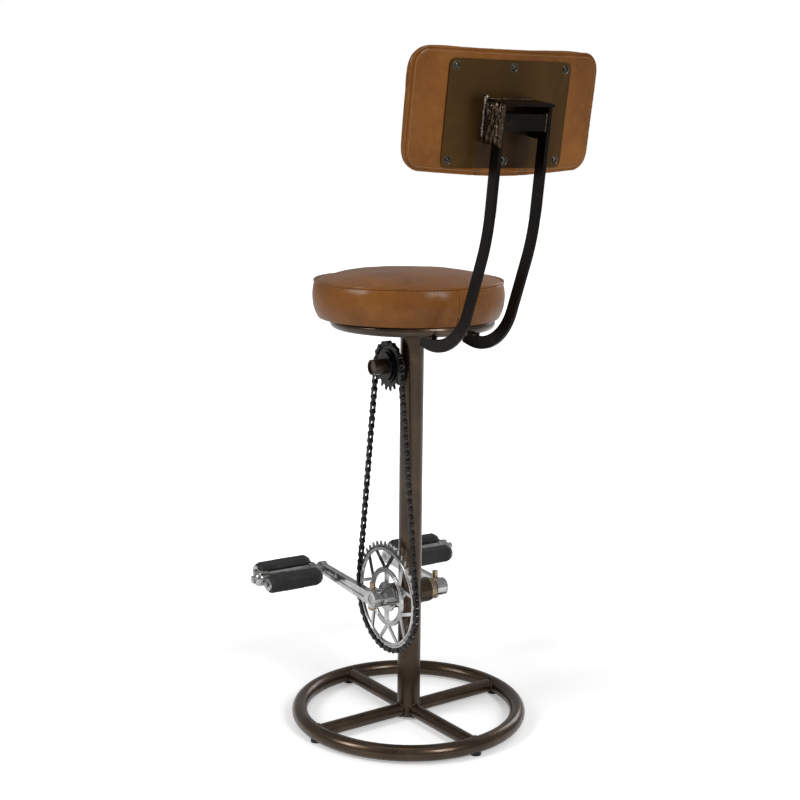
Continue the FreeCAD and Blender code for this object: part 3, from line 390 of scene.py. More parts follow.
MATERIALS = {
    "tan_leather": leather(),
    "bronze_paint": bronze_paint(),
    "black_paint": black_paint(),
    "aged_plate": aged_plate(),
    "black_chain": metal("black_chain", (0.018, 0.017, 0.016), (0.06, 0.057, 0.054), 0.25, 0.45, 120.0),
    "chrome": metal("chrome", (0.28, 0.28, 0.285), (0.62, 0.62, 0.615), 0.10, 0.24, 32.0),
    "steel": metal("steel", (0.2, 0.195, 0.19), (0.5, 0.49, 0.47), 0.18, 0.36, 60.0),
    "cotter_steel": metal("cotter_steel", (0.16, 0.11, 0.065), (0.46, 0.37, 0.26), 0.18, 0.36, 70.0),
    "black_rubber": rubber(),
    "plywood": plywood(),
}
WELD = weld_metal("weld_dark", (0.02, 0.013, 0.009), (0.10, 0.066, 0.042), 0.2, 0.38)
WELD_BRIGHT = weld_metal("weld_bright", (0.06, 0.048, 0.038), (0.27, 0.23, 0.19), 0.18, 0.36)
SCREW = metal("dark_screw", (0.02, 0.018, 0.016), (0.09, 0.08, 0.07), 0.2, 0.34, 200.0)
SCREW_RING = metal("screw_ring", (0.05, 0.045, 0.04), (0.22, 0.2, 0.18), 0.2, 0.34, 200.0)
THREAD = thread()
SLOT_OF = {part["node"]: part["material_slot"] for part in frame["record"]["subparts"]}


# Mesh helpers
def piece(name, verts, faces, material, body):
    mesh = bpy.data.meshes.new(name)
    mesh.from_pydata([tuple(v) for v in verts], [], faces)
    mesh.validate()
    mesh.materials.append(material)
    mesh.polygons.foreach_set("use_smooth", [True] * len(mesh.polygons))
    obj = bpy.data.objects.new(name, mesh)
    bpy.context.collection.objects.link(obj)
    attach(obj, body)
    return obj


def joined(parts):
    """One list of vertices and faces from several."""
    verts = []
    faces = []
    for part_verts, part_faces in parts:
        start = len(verts)
        verts.extend(part_verts)
        faces.extend(tuple(i + start for i in face) for face in part_faces)
    return verts, faces


def joined_piece(name, parts, material, body):
    verts, faces = joined(parts)
    return piece(name, verts, faces, material, body)


def rows(loops, closed=True, capped=True):
    """Faces between loops of equal length, closed round each loop, with end caps if asked."""
    verts = [p for loop in loops for p in loop]
    n = len(loops[0])
    faces = []
    last = n if closed else n - 1
    for j in range(len(loops) - 1):
        for i in range(last):
            k = (i + 1) % n
            faces.append((j * n + i, j * n + k, (j + 1) * n + k, (j + 1) * n + i))
    if capped:
        faces.append(tuple(range(n - 1, -1, -1)))
        faces.append(tuple((len(loops) - 1) * n + i for i in range(n)))
    return verts, faces


def round_turn(count):
    """Angles evenly spaced round a full turn."""
    return [2 * math.pi * i / count for i in range(count)]


def lathe(profile, centre, axis, sides):
    """Loops of a profile of (radius, distance along the axis) turned round the axis."""
    across = Z.cross(axis).normalized() if abs(axis.z) < 0.9 else X.copy()
    other = axis.cross(across)
    loops = []
    for radius, along in profile:
        loop = []
        for a in round_turn(sides):
            offset = across * (radius * math.cos(a)) + other * (radius * math.sin(a))
            loop.append(centre + axis * along + offset)
        loops.append(loop)
    return loops


def arc(start, via, end, count):
    """Points on the circle through three (a, b) pairs, from start to end."""
    (ax, ay), (bx, by), (cx, cy) = start, via, end
    d = 2 * (ax * (by - cy) + bx * (cy - ay) + cx * (ay - by))
    a2 = ax * ax + ay * ay
    b2 = bx * bx + by * by
    c2 = cx * cx + cy * cy
    ux = (a2 * (by - cy) + b2 * (cy - ay) + c2 * (ay - by)) / d
    uy = (a2 * (cx - bx) + b2 * (ax - cx) + c2 * (bx - ax)) / d
    r = math.hypot(ax - ux, ay - uy)
    a0 = math.atan2(ay - uy, ax - ux)
    turn = (math.atan2(cy - uy, cx - ux) - a0 + math.pi) % (2 * math.pi) - math.pi
    angles = [a0 + turn * i / count for i in range(count + 1)]
    return [(ux + r * math.cos(a), uy + r * math.sin(a)) for a in angles]


def tube(points, radius_at, sides, closed):
    """A tube along points, its radius a function of the point's number."""
    n = len(points)
    turns = round_turn(sides)
    loops = []
    normal = None
    for i, p in enumerate(points):
        before = points[(i - 1) % n] if closed or i > 0 else p
        after = points[(i + 1) % n] if closed or i < n - 1 else p
        way = (after - before).normalized()
        if normal is None:
            normal = way.orthogonal().normalized()
        normal = (normal - way * normal.dot(way)).normalized()
        other = way.cross(normal)
        r = radius_at(i)
        loops.append([p + normal * (r * math.cos(t)) + other * (r * math.sin(t)) for t in turns])
    if closed:
        first = loops[0]
        nearest = min(range(sides), key=lambda j: (first[j] - loops[-1][0]).length)
        loops.append([first[(j + nearest) % sides] for j in range(sides)])
        return rows(loops, capped=False)
    return rows(loops)


def resampled(points, step, closed=False):
    """Points evenly spaced along a polyline."""
    path = list(points) + ([points[0]] if closed else [])
    lengths = [0.0]
    for a, b in zip(path, path[1:]):
        lengths.append(lengths[-1] + (b - a).length)
    count = max(3, round(lengths[-1] / step))
    out = []
    k = 0
    for i in range(count if closed else count + 1):
        want = lengths[-1] * i / count
        while k < len(lengths) - 2 and lengths[k + 1] < want:
            k += 1
        share = (want - lengths[k]) / max(lengths[k + 1] - lengths[k], 1e-9)
        out.append(path[k].lerp(path[k + 1], share))
    return out


def add_modifier(obj, kind, **values):
    modifier = obj.modifiers.new(kind.lower(), kind)
    for key, value in values.items():
        setattr(modifier, key, value)
    return modifier


def subdivide(obj):
    """One subdivision, off the limit surface, which is slow where many faces meet at a point."""
    add_modifier(obj, "SUBSURF", levels=1, render_levels=1, use_limit_surface=False)


def shaped_mesh(obj):
    """The object's mesh with its modifiers, as a new mesh."""
    bpy.context.view_layer.update()
    depsgraph = bpy.context.evaluated_depsgraph_get()
    return bpy.data.meshes.new_from_object(obj.evaluated_get(depsgraph))


# Padded covers
CLOTH = {
    "quality": 6, "mass": 0.25, "tension_stiffness": 22, "compression_stiffness": 22,
    "shear_stiffness": 8, "bending_stiffness": 1.2,
}
CLOTH_STEPS = 20


def swell(obj, pinned, shrink, cap, pressure):
    """Lets a cover that starts a little small swell under pressure, then keeps the result in its mesh."""
    mesh = obj.data
    rest = [v.co.copy() for v in mesh.vertices]
    normals = [v.normal.copy() for v in mesh.vertices]
    for i, v in enumerate(mesh.vertices):
        if i not in pinned:
            v.co = rest[i] - normals[i] * shrink
    group = obj.vertex_groups.new(name="pinned")
    group.add(sorted(pinned), 1.0, "REPLACE")
    cloth = add_modifier(obj, "CLOTH")
    settings = cloth.settings
    for key, value in CLOTH.items():
        setattr(settings, key, value)
    settings.vertex_group_mass = "pinned"
    settings.use_pressure = True
    settings.uniform_pressure_force = pressure
    settings.effector_weights.gravity = 0.0
    cloth.collision_settings.use_collision = False
    scene = bpy.context.scene
    scene.frame_start = 1
    scene.frame_end = CLOTH_STEPS
    for number in range(1, CLOTH_STEPS + 1):
        scene.frame_set(number)
    swollen = shaped_mesh(obj)
    places = [v.co.copy() for v in swollen.vertices]
    bpy.data.meshes.remove(swollen)
    obj.modifiers.remove(cloth)
    scene.frame_set(1)
    for i, v in enumerate(mesh.vertices):
        move = places[i] - rest[i]
        if move.length > cap:
            move = move * (cap / move.length)
        v.co = rest[i] + move


def rumple(obj, pinned, amount, scale, seed):
    """Shallow, uneven rises and hollows along the normals, as leather has over foam."""
    mesh = obj.data
    moves = []
    for i, v in enumerate(mesh.vertices):
        share = 0.0 if i in pinned else noise.fractal(v.co * scale + Vector((seed, 0, 0)), 1.0, 2.0, 3)
        moves.append(v.normal * (amount * share))
    for v, move in zip(mesh.vertices, moves):
        v.co = v.co + move


# Seat
def seat_profile():
    """Pairs of radius and height over the board's underside, and the number of the piping's row."""
    edge = SEAT_RADIUS - SEAT_PIPING_INSET
    board = span("seat_board").x / 2 + BOARD_GAP
    h = SEAT_SIDE
    crown = SEAT_TOP - SEAT_Z - h
    under = [(board, SEAT_RECESS), (board, 6 * MM), (board, BOARD_GAP), (SEAT_LIP - 2.5 * MM, BOARD_GAP)]
    lip = (SEAT_LIP, -SEAT_LIP_DROP)
    low = arc(lip, (SEAT_RADIUS - 3.9 * MM, 0.15 * h), (SEAT_RADIUS - 0.4 * MM, 0.44 * h), 9)
    high = arc(low[-1], (SEAT_RADIUS, 0.58 * h), (SEAT_RADIUS - 0.8 * MM, 0.76 * h), 5)
    upper = [(SEAT_RADIUS - 1.6 * MM, 0.86 * h), (SEAT_RADIUS - 3.1 * MM, 0.95 * h), (edge, h)]
    side = under + low + high[1:] + upper
    steps = 22
    top = []
    for i in range(1, steps):
        share = 1 - i / steps
        top.append((edge * share, h + crown * (1 - share ** SEAT_CROWN_POWER)))
    return side + top, len(side) - 1


def seat_cushion():
    """The seat's cover, held at its piping and where it meets the board."""
    profile, piping_row = seat_profile()
    sides = 176
    centre = Vector((SEAT.x, SEAT.y, SEAT_Z))
    verts, faces = rows(lathe(profile, centre, Z, sides), capped=False)
    top = len(verts)
    verts.append(centre + Z * (SEAT_TOP - SEAT_Z))
    last = len(profile) - 1
    faces += [(last * sides + i, last * sides + (i + 1) % sides, top) for i in range(sides)]
    floor = len(verts)
    verts.append(centre + Z * profile[0][1])
    faces += [((i + 1) % sides, i, floor) for i in range(sides)]
    obj = piece("seat_cover", verts, faces, MATERIALS["tan_leather"], "stool")
    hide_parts("seat_cushion")
    rigid_rows = [*range(6), piping_row]
    pinned = {row * sides + i for row in rigid_rows for i in range(sides)} | {floor}
    swell(obj, pinned, shrink=0.3 * MM, cap=2.6 * MM, pressure=12.0)
    rumple(obj, pinned, amount=1.1 * MM, scale=16.0, seed=3.0)
    subdivide(obj)
    return obj


def seat_piping():
    """A thin welt that dips and rises a little round the top edge."""
    radius = SEAT_RADIUS - SEAT_PIPING_INSET + 0.5 * MM
    height = SEAT_Z + SEAT_SIDE + 0.4 * MM
    points = []
    count = 720
    for a in round_turn(count):
        way = Vector((math.cos(a), math.sin(a), 0))
        wave = noise.noise(way * 3.2) * 1.1 * MM
        out = noise.noise(way * 5.0 + Vector((7, 0, 0))) * 0.5 * MM
        points.append(Vector((SEAT.x, SEAT.y, height + wave)) + way * (radius + out))
    verts, faces = tube(points, lambda i: (2.1 + 0.25 * noise.noise(points[i] * 220)) * MM, 14, closed=True)
    obj = piece("seat_welt", verts, faces, MATERIALS["tan_leather"], "stool")
    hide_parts("seat_piping")
    stitches = []
    reach = radius + 0.9 * MM
    for i in range(0, count, 4):
        ends = []
        for place in (i + 0.5, i + 2.6):
            a = 2 * math.pi * place / count
            x = SEAT.x + math.cos(a) * reach
            y = SEAT.y + math.sin(a) * reach
            ends.append(Vector((x, y, points[i].z - 3.4 * MM)))
        stitches.append(stitch(*ends, 0.42 * MM))
    joined_piece("seat_welt_stitches", stitches, THREAD, "stool")


def stitch(start, end, radius):
    """One stitch of thread, thin at its ends."""
    points = [start.lerp(end, t) for t in (0, 0.15, 0.5, 0.85, 1)]
    sizes = [0.25, 0.85, 1.0, 0.85, 0.25]
    return tube(points, lambda i: radius * sizes[i], 6, closed=False)


def seat_band_seam(cover):
    """The upright seam of the band, behind: two folded lips with a line of stitches on each side."""
    mesh = cover.data
    tree = BVHTree.FromPolygons([v.co for v in mesh.vertices], [tuple(p.vertices) for p in mesh.polygons])
    angle = math.radians(90 - SEAT_SEAM_TURN)
    way = Vector((math.cos(angle), math.sin(angle), 0))
    side = Vector((-way.y, way.x, 0))
    lips = []
    stitches = []
    for offset in (-0.7 * MM, 0.7 * MM):
        line = seam_line(tree, way, side, offset, 0.2 * MM, 40)
        lips.append(tube(line, lambda i: 0.75 * MM, 8, closed=False))
    for offset in (-2.6 * MM, 2.6 * MM):
        line = seam_line(tree, way, side, offset, 0.1 * MM, 31)
        stitches += [stitch(line[i], line[i].lerp(line[i + 1], 0.7), 0.4 * MM) for i in range(30)]
    joined_piece("seat_band_seam", lips, MATERIALS["tan_leather"], "stool")
    joined_piece("seat_band_stitches", stitches, THREAD, "stool")


def seam_line(tree, way, side, offset, proud, count):
    """Points down the band, a little proud of the cover where a ray from outside meets it."""
    line = []
    for i in range(count):
        height = SEAT_Z - 1.0 * MM + (SEAT_SIDE - 2.5 * MM) * i / (count - 1)
        outside = Vector((SEAT.x, SEAT.y, height)) + way * (SEAT_RADIUS + 50 * MM) + side * offset
        hit = tree.ray_cast(outside, -way)[0]
        if hit is not None:
            line.append(hit + way * proud)
    return line


# Backrest, in its own frame: X across, Y to the rear from the plate's rear face, Z up
def on_backrest(p):
    """A point of the backrest's own frame, in the stool's frame."""
    turned = Matrix.Rotation(math.radians(-BACK_RECLINE), 3, "X") @ Vector(p)
    return turned + BACK_CENTRE


def bow(x):
    """How far forward the curved back lies at x."""
    return math.sqrt(BACK_CURVE ** 2 - x ** 2) - BACK_CURVE


def rounded_outline(corners, radii, count):
    """Evenly spaced points round a polygon with rounded corners, in (x, z)."""
    path = []
    n = len(corners)
    for i in range(n):
        corner = Vector(corners[i])
        back = (Vector(corners[i - 1]) - corner).normalized()
        on = (Vector(corners[(i + 1) % n]) - corner).normalized()
        half = back.angle(on) / 2
        reach = radii[i] / math.tan(half)
        centre = corner + (back + on).normalized() * (radii[i] / math.sin(half))
        start = corner + back * reach - centre
        end = corner + on * reach - centre
        turn = start.angle_signed(end)
        for k in range(25):
            path.append(centre + Matrix.Rotation(-turn * k / 24, 2) @ start)
    flat = [Vector((p.x, 0, p.y)) for p in path]
    total = sum((flat[(i + 1) % len(flat)] - flat[i]).length for i in range(len(flat)))
    return resampled(flat, total / count, closed=True)[:count]


def pad_outline(inset, count):
    """The pad's outline, drawn in by an inset: straight top, lower edge dropping to its middle."""
    w = PAD_WIDTH / 2
    slope = math.atan2(PAD_MIDDLE_DROP - PAD_CORNER_DROP, w)
    lift = inset / math.cos(slope)
    low = -PAD_CORNER_DROP + lift - inset * math.tan(slope)
    corners = [
        (0, -PAD_MIDDLE_DROP + lift),
        (-w + inset, low),
        (-w + inset, PAD_TOP - inset),
        (w - inset, PAD_TOP - inset),
        (w - inset, low),
    ]
    corner = max(PAD_CORNER - inset, PAD_LEAST_CORNER)
    return rounded_outline(corners, [PAD_BOW] + [corner] * 4, count)


def pad_front(z):
    """Depth of the crowned front at a height."""
    rise = (PAD_TOP + PAD_CORNER_DROP) / 2
    middle = (PAD_TOP - PAD_CORNER_DROP) / 2
    share = min(abs(z - middle) / rise, 1.0)
    return -PLATE_THICKNESS - PAD_THICKNESS + PAD_CROWN * share ** 2


def backrest_cushion():
    """The pad's cover: its rear edge, its sides, the rounded front edge, then rings in to the crown."""
    count = PAD_POINTS
    rear = -PLATE_THICKNESS - PANEL_DEPTH
    loops = []
    rear_edge = [(14, 1.0), (6, 0.0), (2.2, 0.0), (0.6, 1.2), (0.0, 4.0)]
    for inset, depth in [(a * MM, b * MM) for a, b in rear_edge]:
        loops.append([Vector((p.x, bow(p.x) + rear - depth, p.z)) for p in pad_outline(inset, count)])
    edge = pad_outline(0, count)
    walls = 4
    for i in range(1, walls + 1):
        loop = []
        for p in edge:
            start = bow(p.x) + rear - 4.0 * MM
            end = pad_front(p.z) + PAD_ROUND
            loop.append(Vector((p.x, start + (end - start) * i / walls, p.z)))
        loops.append(loop)
    steps = 7
    for i in range(1, steps + 1):
        a = math.pi / 2 * i / steps
        inset = PAD_ROUND * (1 - math.cos(a))
        depth = PAD_ROUND * (1 - math.sin(a))
        loops.append([Vector((p.x, pad_front(p.z) + depth, p.z)) for p in pad_outline(inset, count)])
    rim = loops[-1]
    fills = 15
    ridge_half = 85 * MM
    ridge_height = 4 * MM
    for i in range(1, fills + 1):
        s = 1 - i / fills
        loop = []
        for p in rim:
            core = Vector((max(-ridge_half, min(ridge_half, p.x)) * 0.92, 0, ridge_height))
            q = core + (Vector((p.x, 0, p.z)) - core) * s
            loop.append(Vector((q.x, pad_front(q.z), q.z)))
        loops.append(loop)
    loops = [[on_backrest(p) for p in loop] for loop in loops]
    verts, faces = rows(loops, capped=False)
    faces.append(tuple(range(count - 1, -1, -1)))
    obj = piece("backrest_cover", verts, faces, MATERIALS["tan_leather"], "stool")
    merge(obj, 0.3 * MM)
    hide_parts("backrest_cushion")
    pinned = {v.index for v in obj.data.vertices if back_depth(v.co) > rear - 5 * MM}
    swell(obj, pinned, shrink=0.3 * MM, cap=2.2 * MM, pressure=8.0)
    rumple(obj, pinned, amount=0.9 * MM, scale=18.0, seed=11.0)
    subdivide(obj)
    return obj


def back_depth(p):
    """Depth of a point behind the curved rear face of the plate."""
    q = Matrix.Rotation(math.radians(BACK_RECLINE), 3, "X") @ (p - BACK_CENTRE)
    return q.y - bow(q.x)


def merge(obj, distance):
    """Joins points that lie together and turns all faces outwards."""
    bm = bmesh.new()
    bm.from_mesh(obj.data)
    bmesh.ops.remove_doubles(bm, verts=bm.verts, dist=distance)
    bmesh.ops.recalc_face_normals(bm, faces=bm.faces)
    bm.to_mesh(obj.data)
    bm.free()
    obj.data.update()


def backrest_back():
    """The leather over the back, drawn to its seam in small puckers."""
    count = PAD_POINTS
    face = -PLATE_THICKNESS
    loops = []
    for inset in (6 * MM, 2.6 * MM):
        loops.append([Vector((p.x, bow(p.x) + face - 2.4 * MM, p.z)) for p in pad_outline(inset, count)])
    edge = [(2.2, 1.5), (3.2, 0.6), (4.6, 0.1), (6.5, 0.0), (9.5, 0.0), (14, 0.0), (22, 0.0), (34, 0.0)]
    for inset, depth in edge:
        loop = []
        for k, p in enumerate(pad_outline(inset * MM, count)):
            pucker = 0.45 * MM * math.exp(-((inset - 5.0) / 3.0) ** 2) * pucker_at(k)
            sag = 0.5 * MM * noise.noise(Vector((p.x, 0, p.z)) * 24)
            y = bow(p.x) + face - depth * MM + pucker + sag * min(1, inset / 14)
            loop.append(Vector((p.x, y, p.z)))
        loops.append(loop)
    rim = loops[-1]
    for s in (0.75, 0.5, 0.25, 0.02):
        loop = []
        for p in rim:
            q = Vector((p.x * (0.45 + 0.55 * s), 0, p.z * s))
            loop.append(Vector((q.x, bow(q.x) + face - 0.3 * MM, q.z)))
        loops.append(loop)
    loops = [[on_backrest(p) for p in loop] for loop in loops]
    verts, faces = rows(loops)
    obj = piece("backrest_back", verts, faces, MATERIALS["tan_leather"], "stool")
    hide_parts("backrest_back_panel")
    subdivide(obj)


def pucker_at(k):
    """How strongly the leather is gathered at one point of the seam."""
    return noise.noise(Vector((k * 0.9, 4.0, 0))) + 0.6 * math.sin(k * 2.1)


def backrest_welt():
    """The raised seam round the rear edge."""
    outline = pad_outline(1.0 * MM, 720)
    points = []
    for p in outline:
        wobble = noise.noise(Vector((p.x, 3.0, p.z)) * 60) * 0.35 * MM
        points.append(on_backrest(Vector((p.x, bow(p.x) - PLATE_THICKNESS - 2.3 * MM + wobble, p.z))))
    verts, faces = tube(points, lambda i: (1.75 + 0.3 * noise.noise(points[i] * 260)) * MM, 12, closed=True)
    obj = piece("backrest_welt", verts, faces, MATERIALS["tan_leather"], "stool")
    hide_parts("backrest_piping")
    stitches = []
    line = pad_outline(5.6 * MM, 300)
    lift = -PLATE_THICKNESS + 0.35 * MM
    for a, b in zip(line, line[1:] + line[:1]):
        start = on_backrest(Vector((a.x, bow(a.x) + lift, a.z)))
        end = on_backrest(Vector((b.x, bow(b.x) + lift, b.z)))
        stitches.append(stitch(start, start.lerp(end, 0.68), 0.4 * MM))
    joined_piece("backrest_stitches", stitches, THREAD, "stool")


def back_screws():
    """Dome-head screws with a hexagon socket, each in a ring of metal."""
    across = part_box("back_plate_screws")[1][0] - PLATE_SCREW_RADIUS
    heads = []
    rings = []
    for x in (-across, 0, across):
        for z in (-PLATE_SCREW_Z, PLATE_SCREW_Z):
            base = Vector((x, bow(x), z))
            heads.append(screw_head(base))
            loops = []
            for k in range(9):
                t = 2 * math.pi * k / 8
                loops.append(ring_on_plate(base, (5.6 + 0.55 * math.cos(t)) * MM, 0.45 * MM * math.sin(t)))
            rings.append(rows(loops, capped=False))
    obj = joined_piece("back_screws", heads, SCREW, "stool")
    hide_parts("back_plate_screws")
    joined_piece("back_screw_rings", rings, SCREW_RING, "stool")


def ring_on_plate(base, radius, height, corners=0):
    """A loop of points round a screw's place, rounded or with six corners."""
    loop = []
    for a in round_turn(48):
        size = radius
        if corners:
            size = radius / math.cos((a % (2 * math.pi / corners)) - math.pi / corners)
        loop.append(on_backrest(base + Vector((size * math.cos(a), height, size * math.sin(a)))))
    return loop


def screw_head(base):
    """A dome and the hexagon socket sunk into it. Both profiles are in mm."""
    dome = [(5.0, -0.3), (5.0, 0.5), (4.6, 1.3), (3.7, 2.1), (2.7, 2.5), (2.2, 2.6)]
    socket = [(1.55, 2.55), (1.5, 1.2)]
    loops = [ring_on_plate(base, r * MM, h * MM) for r, h in dome]
    loops += [ring_on_plate(base, r * MM, h * MM, corners=6) for r, h in socket]
    return rows(loops)


# Weld beads, with the pitch of their ripples
RIPPLE = 0.45 * MM
WELD_PROUD = 1.03


def bead(points, radius, seed, closed=True):
    """A ripple-marked bead of weld metal along a path."""
    line = resampled(points, RIPPLE, closed)

    def size(i):
        ripple = abs(math.sin(i * 0.62 + 0.8 * math.sin(i * 0.11)))
        lump = noise.noise(line[i] * 300 + Vector((seed, 0, 0)))
        return radius * (0.78 + 0.22 * ripple + 0.3 * lump)

    return tube(line, size, 10, closed)


def spoke_frame(number):
    """A spoke's direction outwards and the direction across it."""
    a = math.radians(SPOKE_TURN + 90 * number)
    return Vector((math.cos(a), math.sin(a), 0)), Vector((-math.sin(a), math.cos(a), 0))


def base_welds():
    """A bead round both ends of each spoke."""
    parts = []
    turns = round_turn(40)
    for number in range(4):
        way, side = spoke_frame(number)
        at_pole = []
        at_ring = []
        for t in turns:
            s = SPOKE_RADIUS * 1.04 * math.cos(t)
            up = SPOKE_RADIUS * 1.04 * math.sin(t)
            at_pole.append(way * math.sqrt(POLE_RADIUS ** 2 - s ** 2) + side * s + Z * (BASE_Z + up))
            reach = RING_RADIUS - math.sqrt(TUBE_RADIUS ** 2 - up ** 2)
            at_ring.append(way * math.sqrt(reach ** 2 - s ** 2) + side * s + Z * (BASE_Z + up))
        parts.append(bead(at_pole, 2.0 * MM, number))
        parts.append(bead(at_ring, 1.9 * MM, number + 10))
    joined_piece("base_welds", parts, WELD, "stool")


def drive_welds():
    """Beads round the sprocket boss, along the bottom bracket shell and round the pole's top."""
    parts = []
    boss_radius = span("sprocket_boss").z / 2
    ring = []
    for t in round_turn(60):
        y = SPROCKET.y + boss_radius * WELD_PROUD * math.cos(t)
        z = SPROCKET.z + boss_radius * WELD_PROUD * math.sin(t)
        ring.append(Vector((math.sqrt(max(POLE_RADIUS ** 2 - y * y, 0)) + 0.6 * MM, y, z)))
    parts.append(bead(ring, 2.6 * MM, 30))
    shell_radius = span("bb_shell").z / 2
    loop = []
    rear = math.asin(min(1, (shell_radius + BB.y) / POLE_RADIUS))
    for sign in (1, -1):
        run = []
        for k in range(61):
            t = rear - (math.pi + 2 * rear) * k / 60
            y = POLE_RADIUS * math.sin(t)
            x = POLE_RADIUS * math.cos(t)
            z = BB.z + sign * math.sqrt(max(shell_radius ** 2 - (y - BB.y) ** 2, 0))
            run.append(Vector((x * 1.02, y * 1.02, z)))
        loop += run[::sign]
    parts.append(bead(loop, 1.7 * MM, 31))
    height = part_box("pole")[1][2] - 0.8 * MM
    turns = round_turn(40)
    top = [Vector((POLE_RADIUS * math.cos(t), POLE_RADIUS * math.sin(t), height)) for t in turns]
    parts.append(bead(top, 2.0 * MM, 32))
    joined_piece("drive_welds", parts, WELD, "stool")


def bracket_welds():
    """Beads round the bracket, and the rough metal run over the side plate and arm on the +X side."""
    half = ARM_X + ARM_HALF
    face = bow(half)
    bright = []
    for side in (-1, 1):
        out = side * (half + 1.2 * MM)
        rise = BRACKET_TOP + 3 * MM if side > 0 else BRACKET_TOP - BRACKET_SHEET
        radius = 2.9 * MM if side > 0 else 1.9 * MM
        points = []
        for k in range(9):
            z = rise + (-BRACKET_DROP - rise) * k / 8
            points.append(on_backrest(Vector((out + 0.9 * MM * math.sin(2.3 * k), face + 1.2 * MM, z))))
        bright.append(bead(points, radius, 40 + side, closed=False))
    blob = on_backrest(Vector((half + 1.0 * MM, face + 2.5 * MM, BRACKET_TOP + 2.5 * MM)))
    bright.append(bead([blob - X * 3.5 * MM, blob, blob + X * 1.2 * MM], 4.0 * MM, 47, closed=False))
    joined_piece("bracket_beads", bright, WELD_BRIGHT, "stool")
    top = [on_backrest(Vector((x * MM, bow(x * MM) + 0.8 * MM, BRACKET_TOP))) for x in range(-38, 43, 4)]
    dark = [bead(top, 1.5 * MM, 43, closed=False), rough_patch(half, face)]
    joined_piece("bracket_patch", dark, WELD, "stool")


def rough_patch(half, face):
    """Ropes of metal that ran down the outer side of the plate and the arm's top."""
    start = face + 1.5 * MM
    end = BRACKET_REACH + 0.3 * MM
    high = BRACKET_TOP + 0.3 * MM
    low = -BRACKET_DROP - 9 * MM
    columns = 90
    lines = 110
    loops = []
    for j in range(lines + 1):
        v = j / lines
        loop = []
        for i in range(columns + 1):
            u = i / columns
            shift = 5 * MM * noise.noise(Vector((u * 3, 2.0, 0)))
            y = start + (end - start) * u
            z = high + (low + shift - high) * v
            place = Vector((y * 95, z * 28, 5.0))
            rope = 1 - abs(noise.noise(place))
            lump = noise.fractal(Vector((y * 210, z * 170, 9.0)), 1.0, 2.0, 3)
            edge = min(1.0, 7 * min(u, 1 - u, v, 1 - v) + 0.08)
            height = (3.4 * rope ** 2 - 0.6 + 0.9 * lump) * edge - 0.9 * (1 - edge)
            loop.append(on_backrest(Vector((half + height * MM, y, z))))
        loops.append(loop)
    return rows(loops[::-1], closed=False, capped=False)


def crossbar_welds():
    """Beads down both ends of the crossbar and along its upper edge."""
    lo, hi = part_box("arm_crossbar")
    parts = []
    for side in (-1, 1):
        x = side * (ARM_X - ARM_HALF - 0.6 * MM)
        middle = (lo[2] + hi[2]) / 2
        places = ((hi[1] - 0.5 * MM, hi[2]), (hi[1] - 2.2 * MM, middle), (hi[1] - 4 * MM, lo[2]))
        points = [Vector((x, y, z)) for y, z in places]
        parts.append(bead(points, 2.3 * MM, 70 + side, closed=False))
        points = [Vector((x, lo[1] + 3 * MM, hi[2])), Vector((x, hi[1] - 1 * MM, hi[2]))]
        parts.append(bead(points, 1.8 * MM, 72 + side, closed=False))
    joined_piece("crossbar_welds", parts, WELD, "stool")


def arm_welds():
    """Beads on both sides of each arm where it runs under the seat ring."""
    ring_radius = span("seat_ring").x / 2 - span("seat_ring").z / 2
    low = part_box("seat_ring")[0][2]
    parts = []
    for centre in (-ARM_X, ARM_X):
        for side in (-1, 1):
            x = centre + side * (ARM_HALF + 0.5 * MM)
            y = math.sqrt(ring_radius ** 2 - x ** 2)
            steps = (-8, -4, 0, 4, 8)
            points = [Vector((x, y + dy * MM, low + (abs(dy) * 0.09 - 0.2) * MM)) for dy in steps]
            parts.append(bead(points, 2.1 * MM, 80 + centre * 1000 + side, closed=False))
    joined_piece("arm_welds", parts, WELD, "stool")


# Pedals: X outwards from the inner end of the blocks, Y and Z from the axle. Hub profiles are in mm
TREAD_PITCH = 3.4 * MM
TREAD_START = 6.5 * MM
TREAD_END = 31 * MM
TREAD_DEPTH = 0.9 * MM
RIB_PITCH = 4.2 * MM
RIB_DEPTH = 0.3 * MM
BLOCK_STEP = 0.6 * MM
BLOCK_TAPER = 6 * MM
BLOCK_END_SCALE = 0.84
HUB_DOME = [(13.0, 0.0), (13.0, 4.0), (12.4, 7.0), (10.8, 10.0), (8.4, 12.2), (6.8, 13.0)]
HUB_NUT = [(6.8, 13.0), (6.8, 17.0), (5.6, 18.0)]


def block_section(scale):
    """Corner points of a block's eight-sided section."""
    d = BLOCK_HALF_DEPTH * scale
    h = BLOCK_HALF_HEIGHT * scale
    c = BLOCK_CHAMFER * scale
    lower = [(-d, c - h), (c - d, -h), (d - c, -h), (d, c - h)]
    return lower + [(-y, -z) for y, z in lower]


def pedal_block(side, start, offset):
    """A rubber block with tapered ends and a diamond tread near both of them."""
    length = span("left_pedal_rubbers").x
    tilt = Matrix.Rotation(math.radians(-PEDAL_TILT), 3, "X")
    count = round(length / BLOCK_STEP)
    loops = []
    for i in range(count + 1):
        x = length * i / count
        end = min(x, length - x)
        scale = BLOCK_END_SCALE + (1 - BLOCK_END_SCALE) * min(1, end / BLOCK_TAPER)
        corners = [Vector((0, y, z)) for y, z in block_section(scale)]
        loop = []
        for k, p in enumerate(even(corners, 128)):
            s = k * 0.68 * MM
            depth = diamond(x, s) if TREAD_START < end < TREAD_END else rib(s)
            q = p + p.normalized() * depth
            turned = tilt @ Vector((0, q.y + offset, q.z))
            loop.append(Vector((start + side * x, PEDAL_EYE.y + turned.y, PEDAL_EYE.z + turned.z)))
        loops.append(loop if side > 0 else loop[::-1])
    return rows(loops)


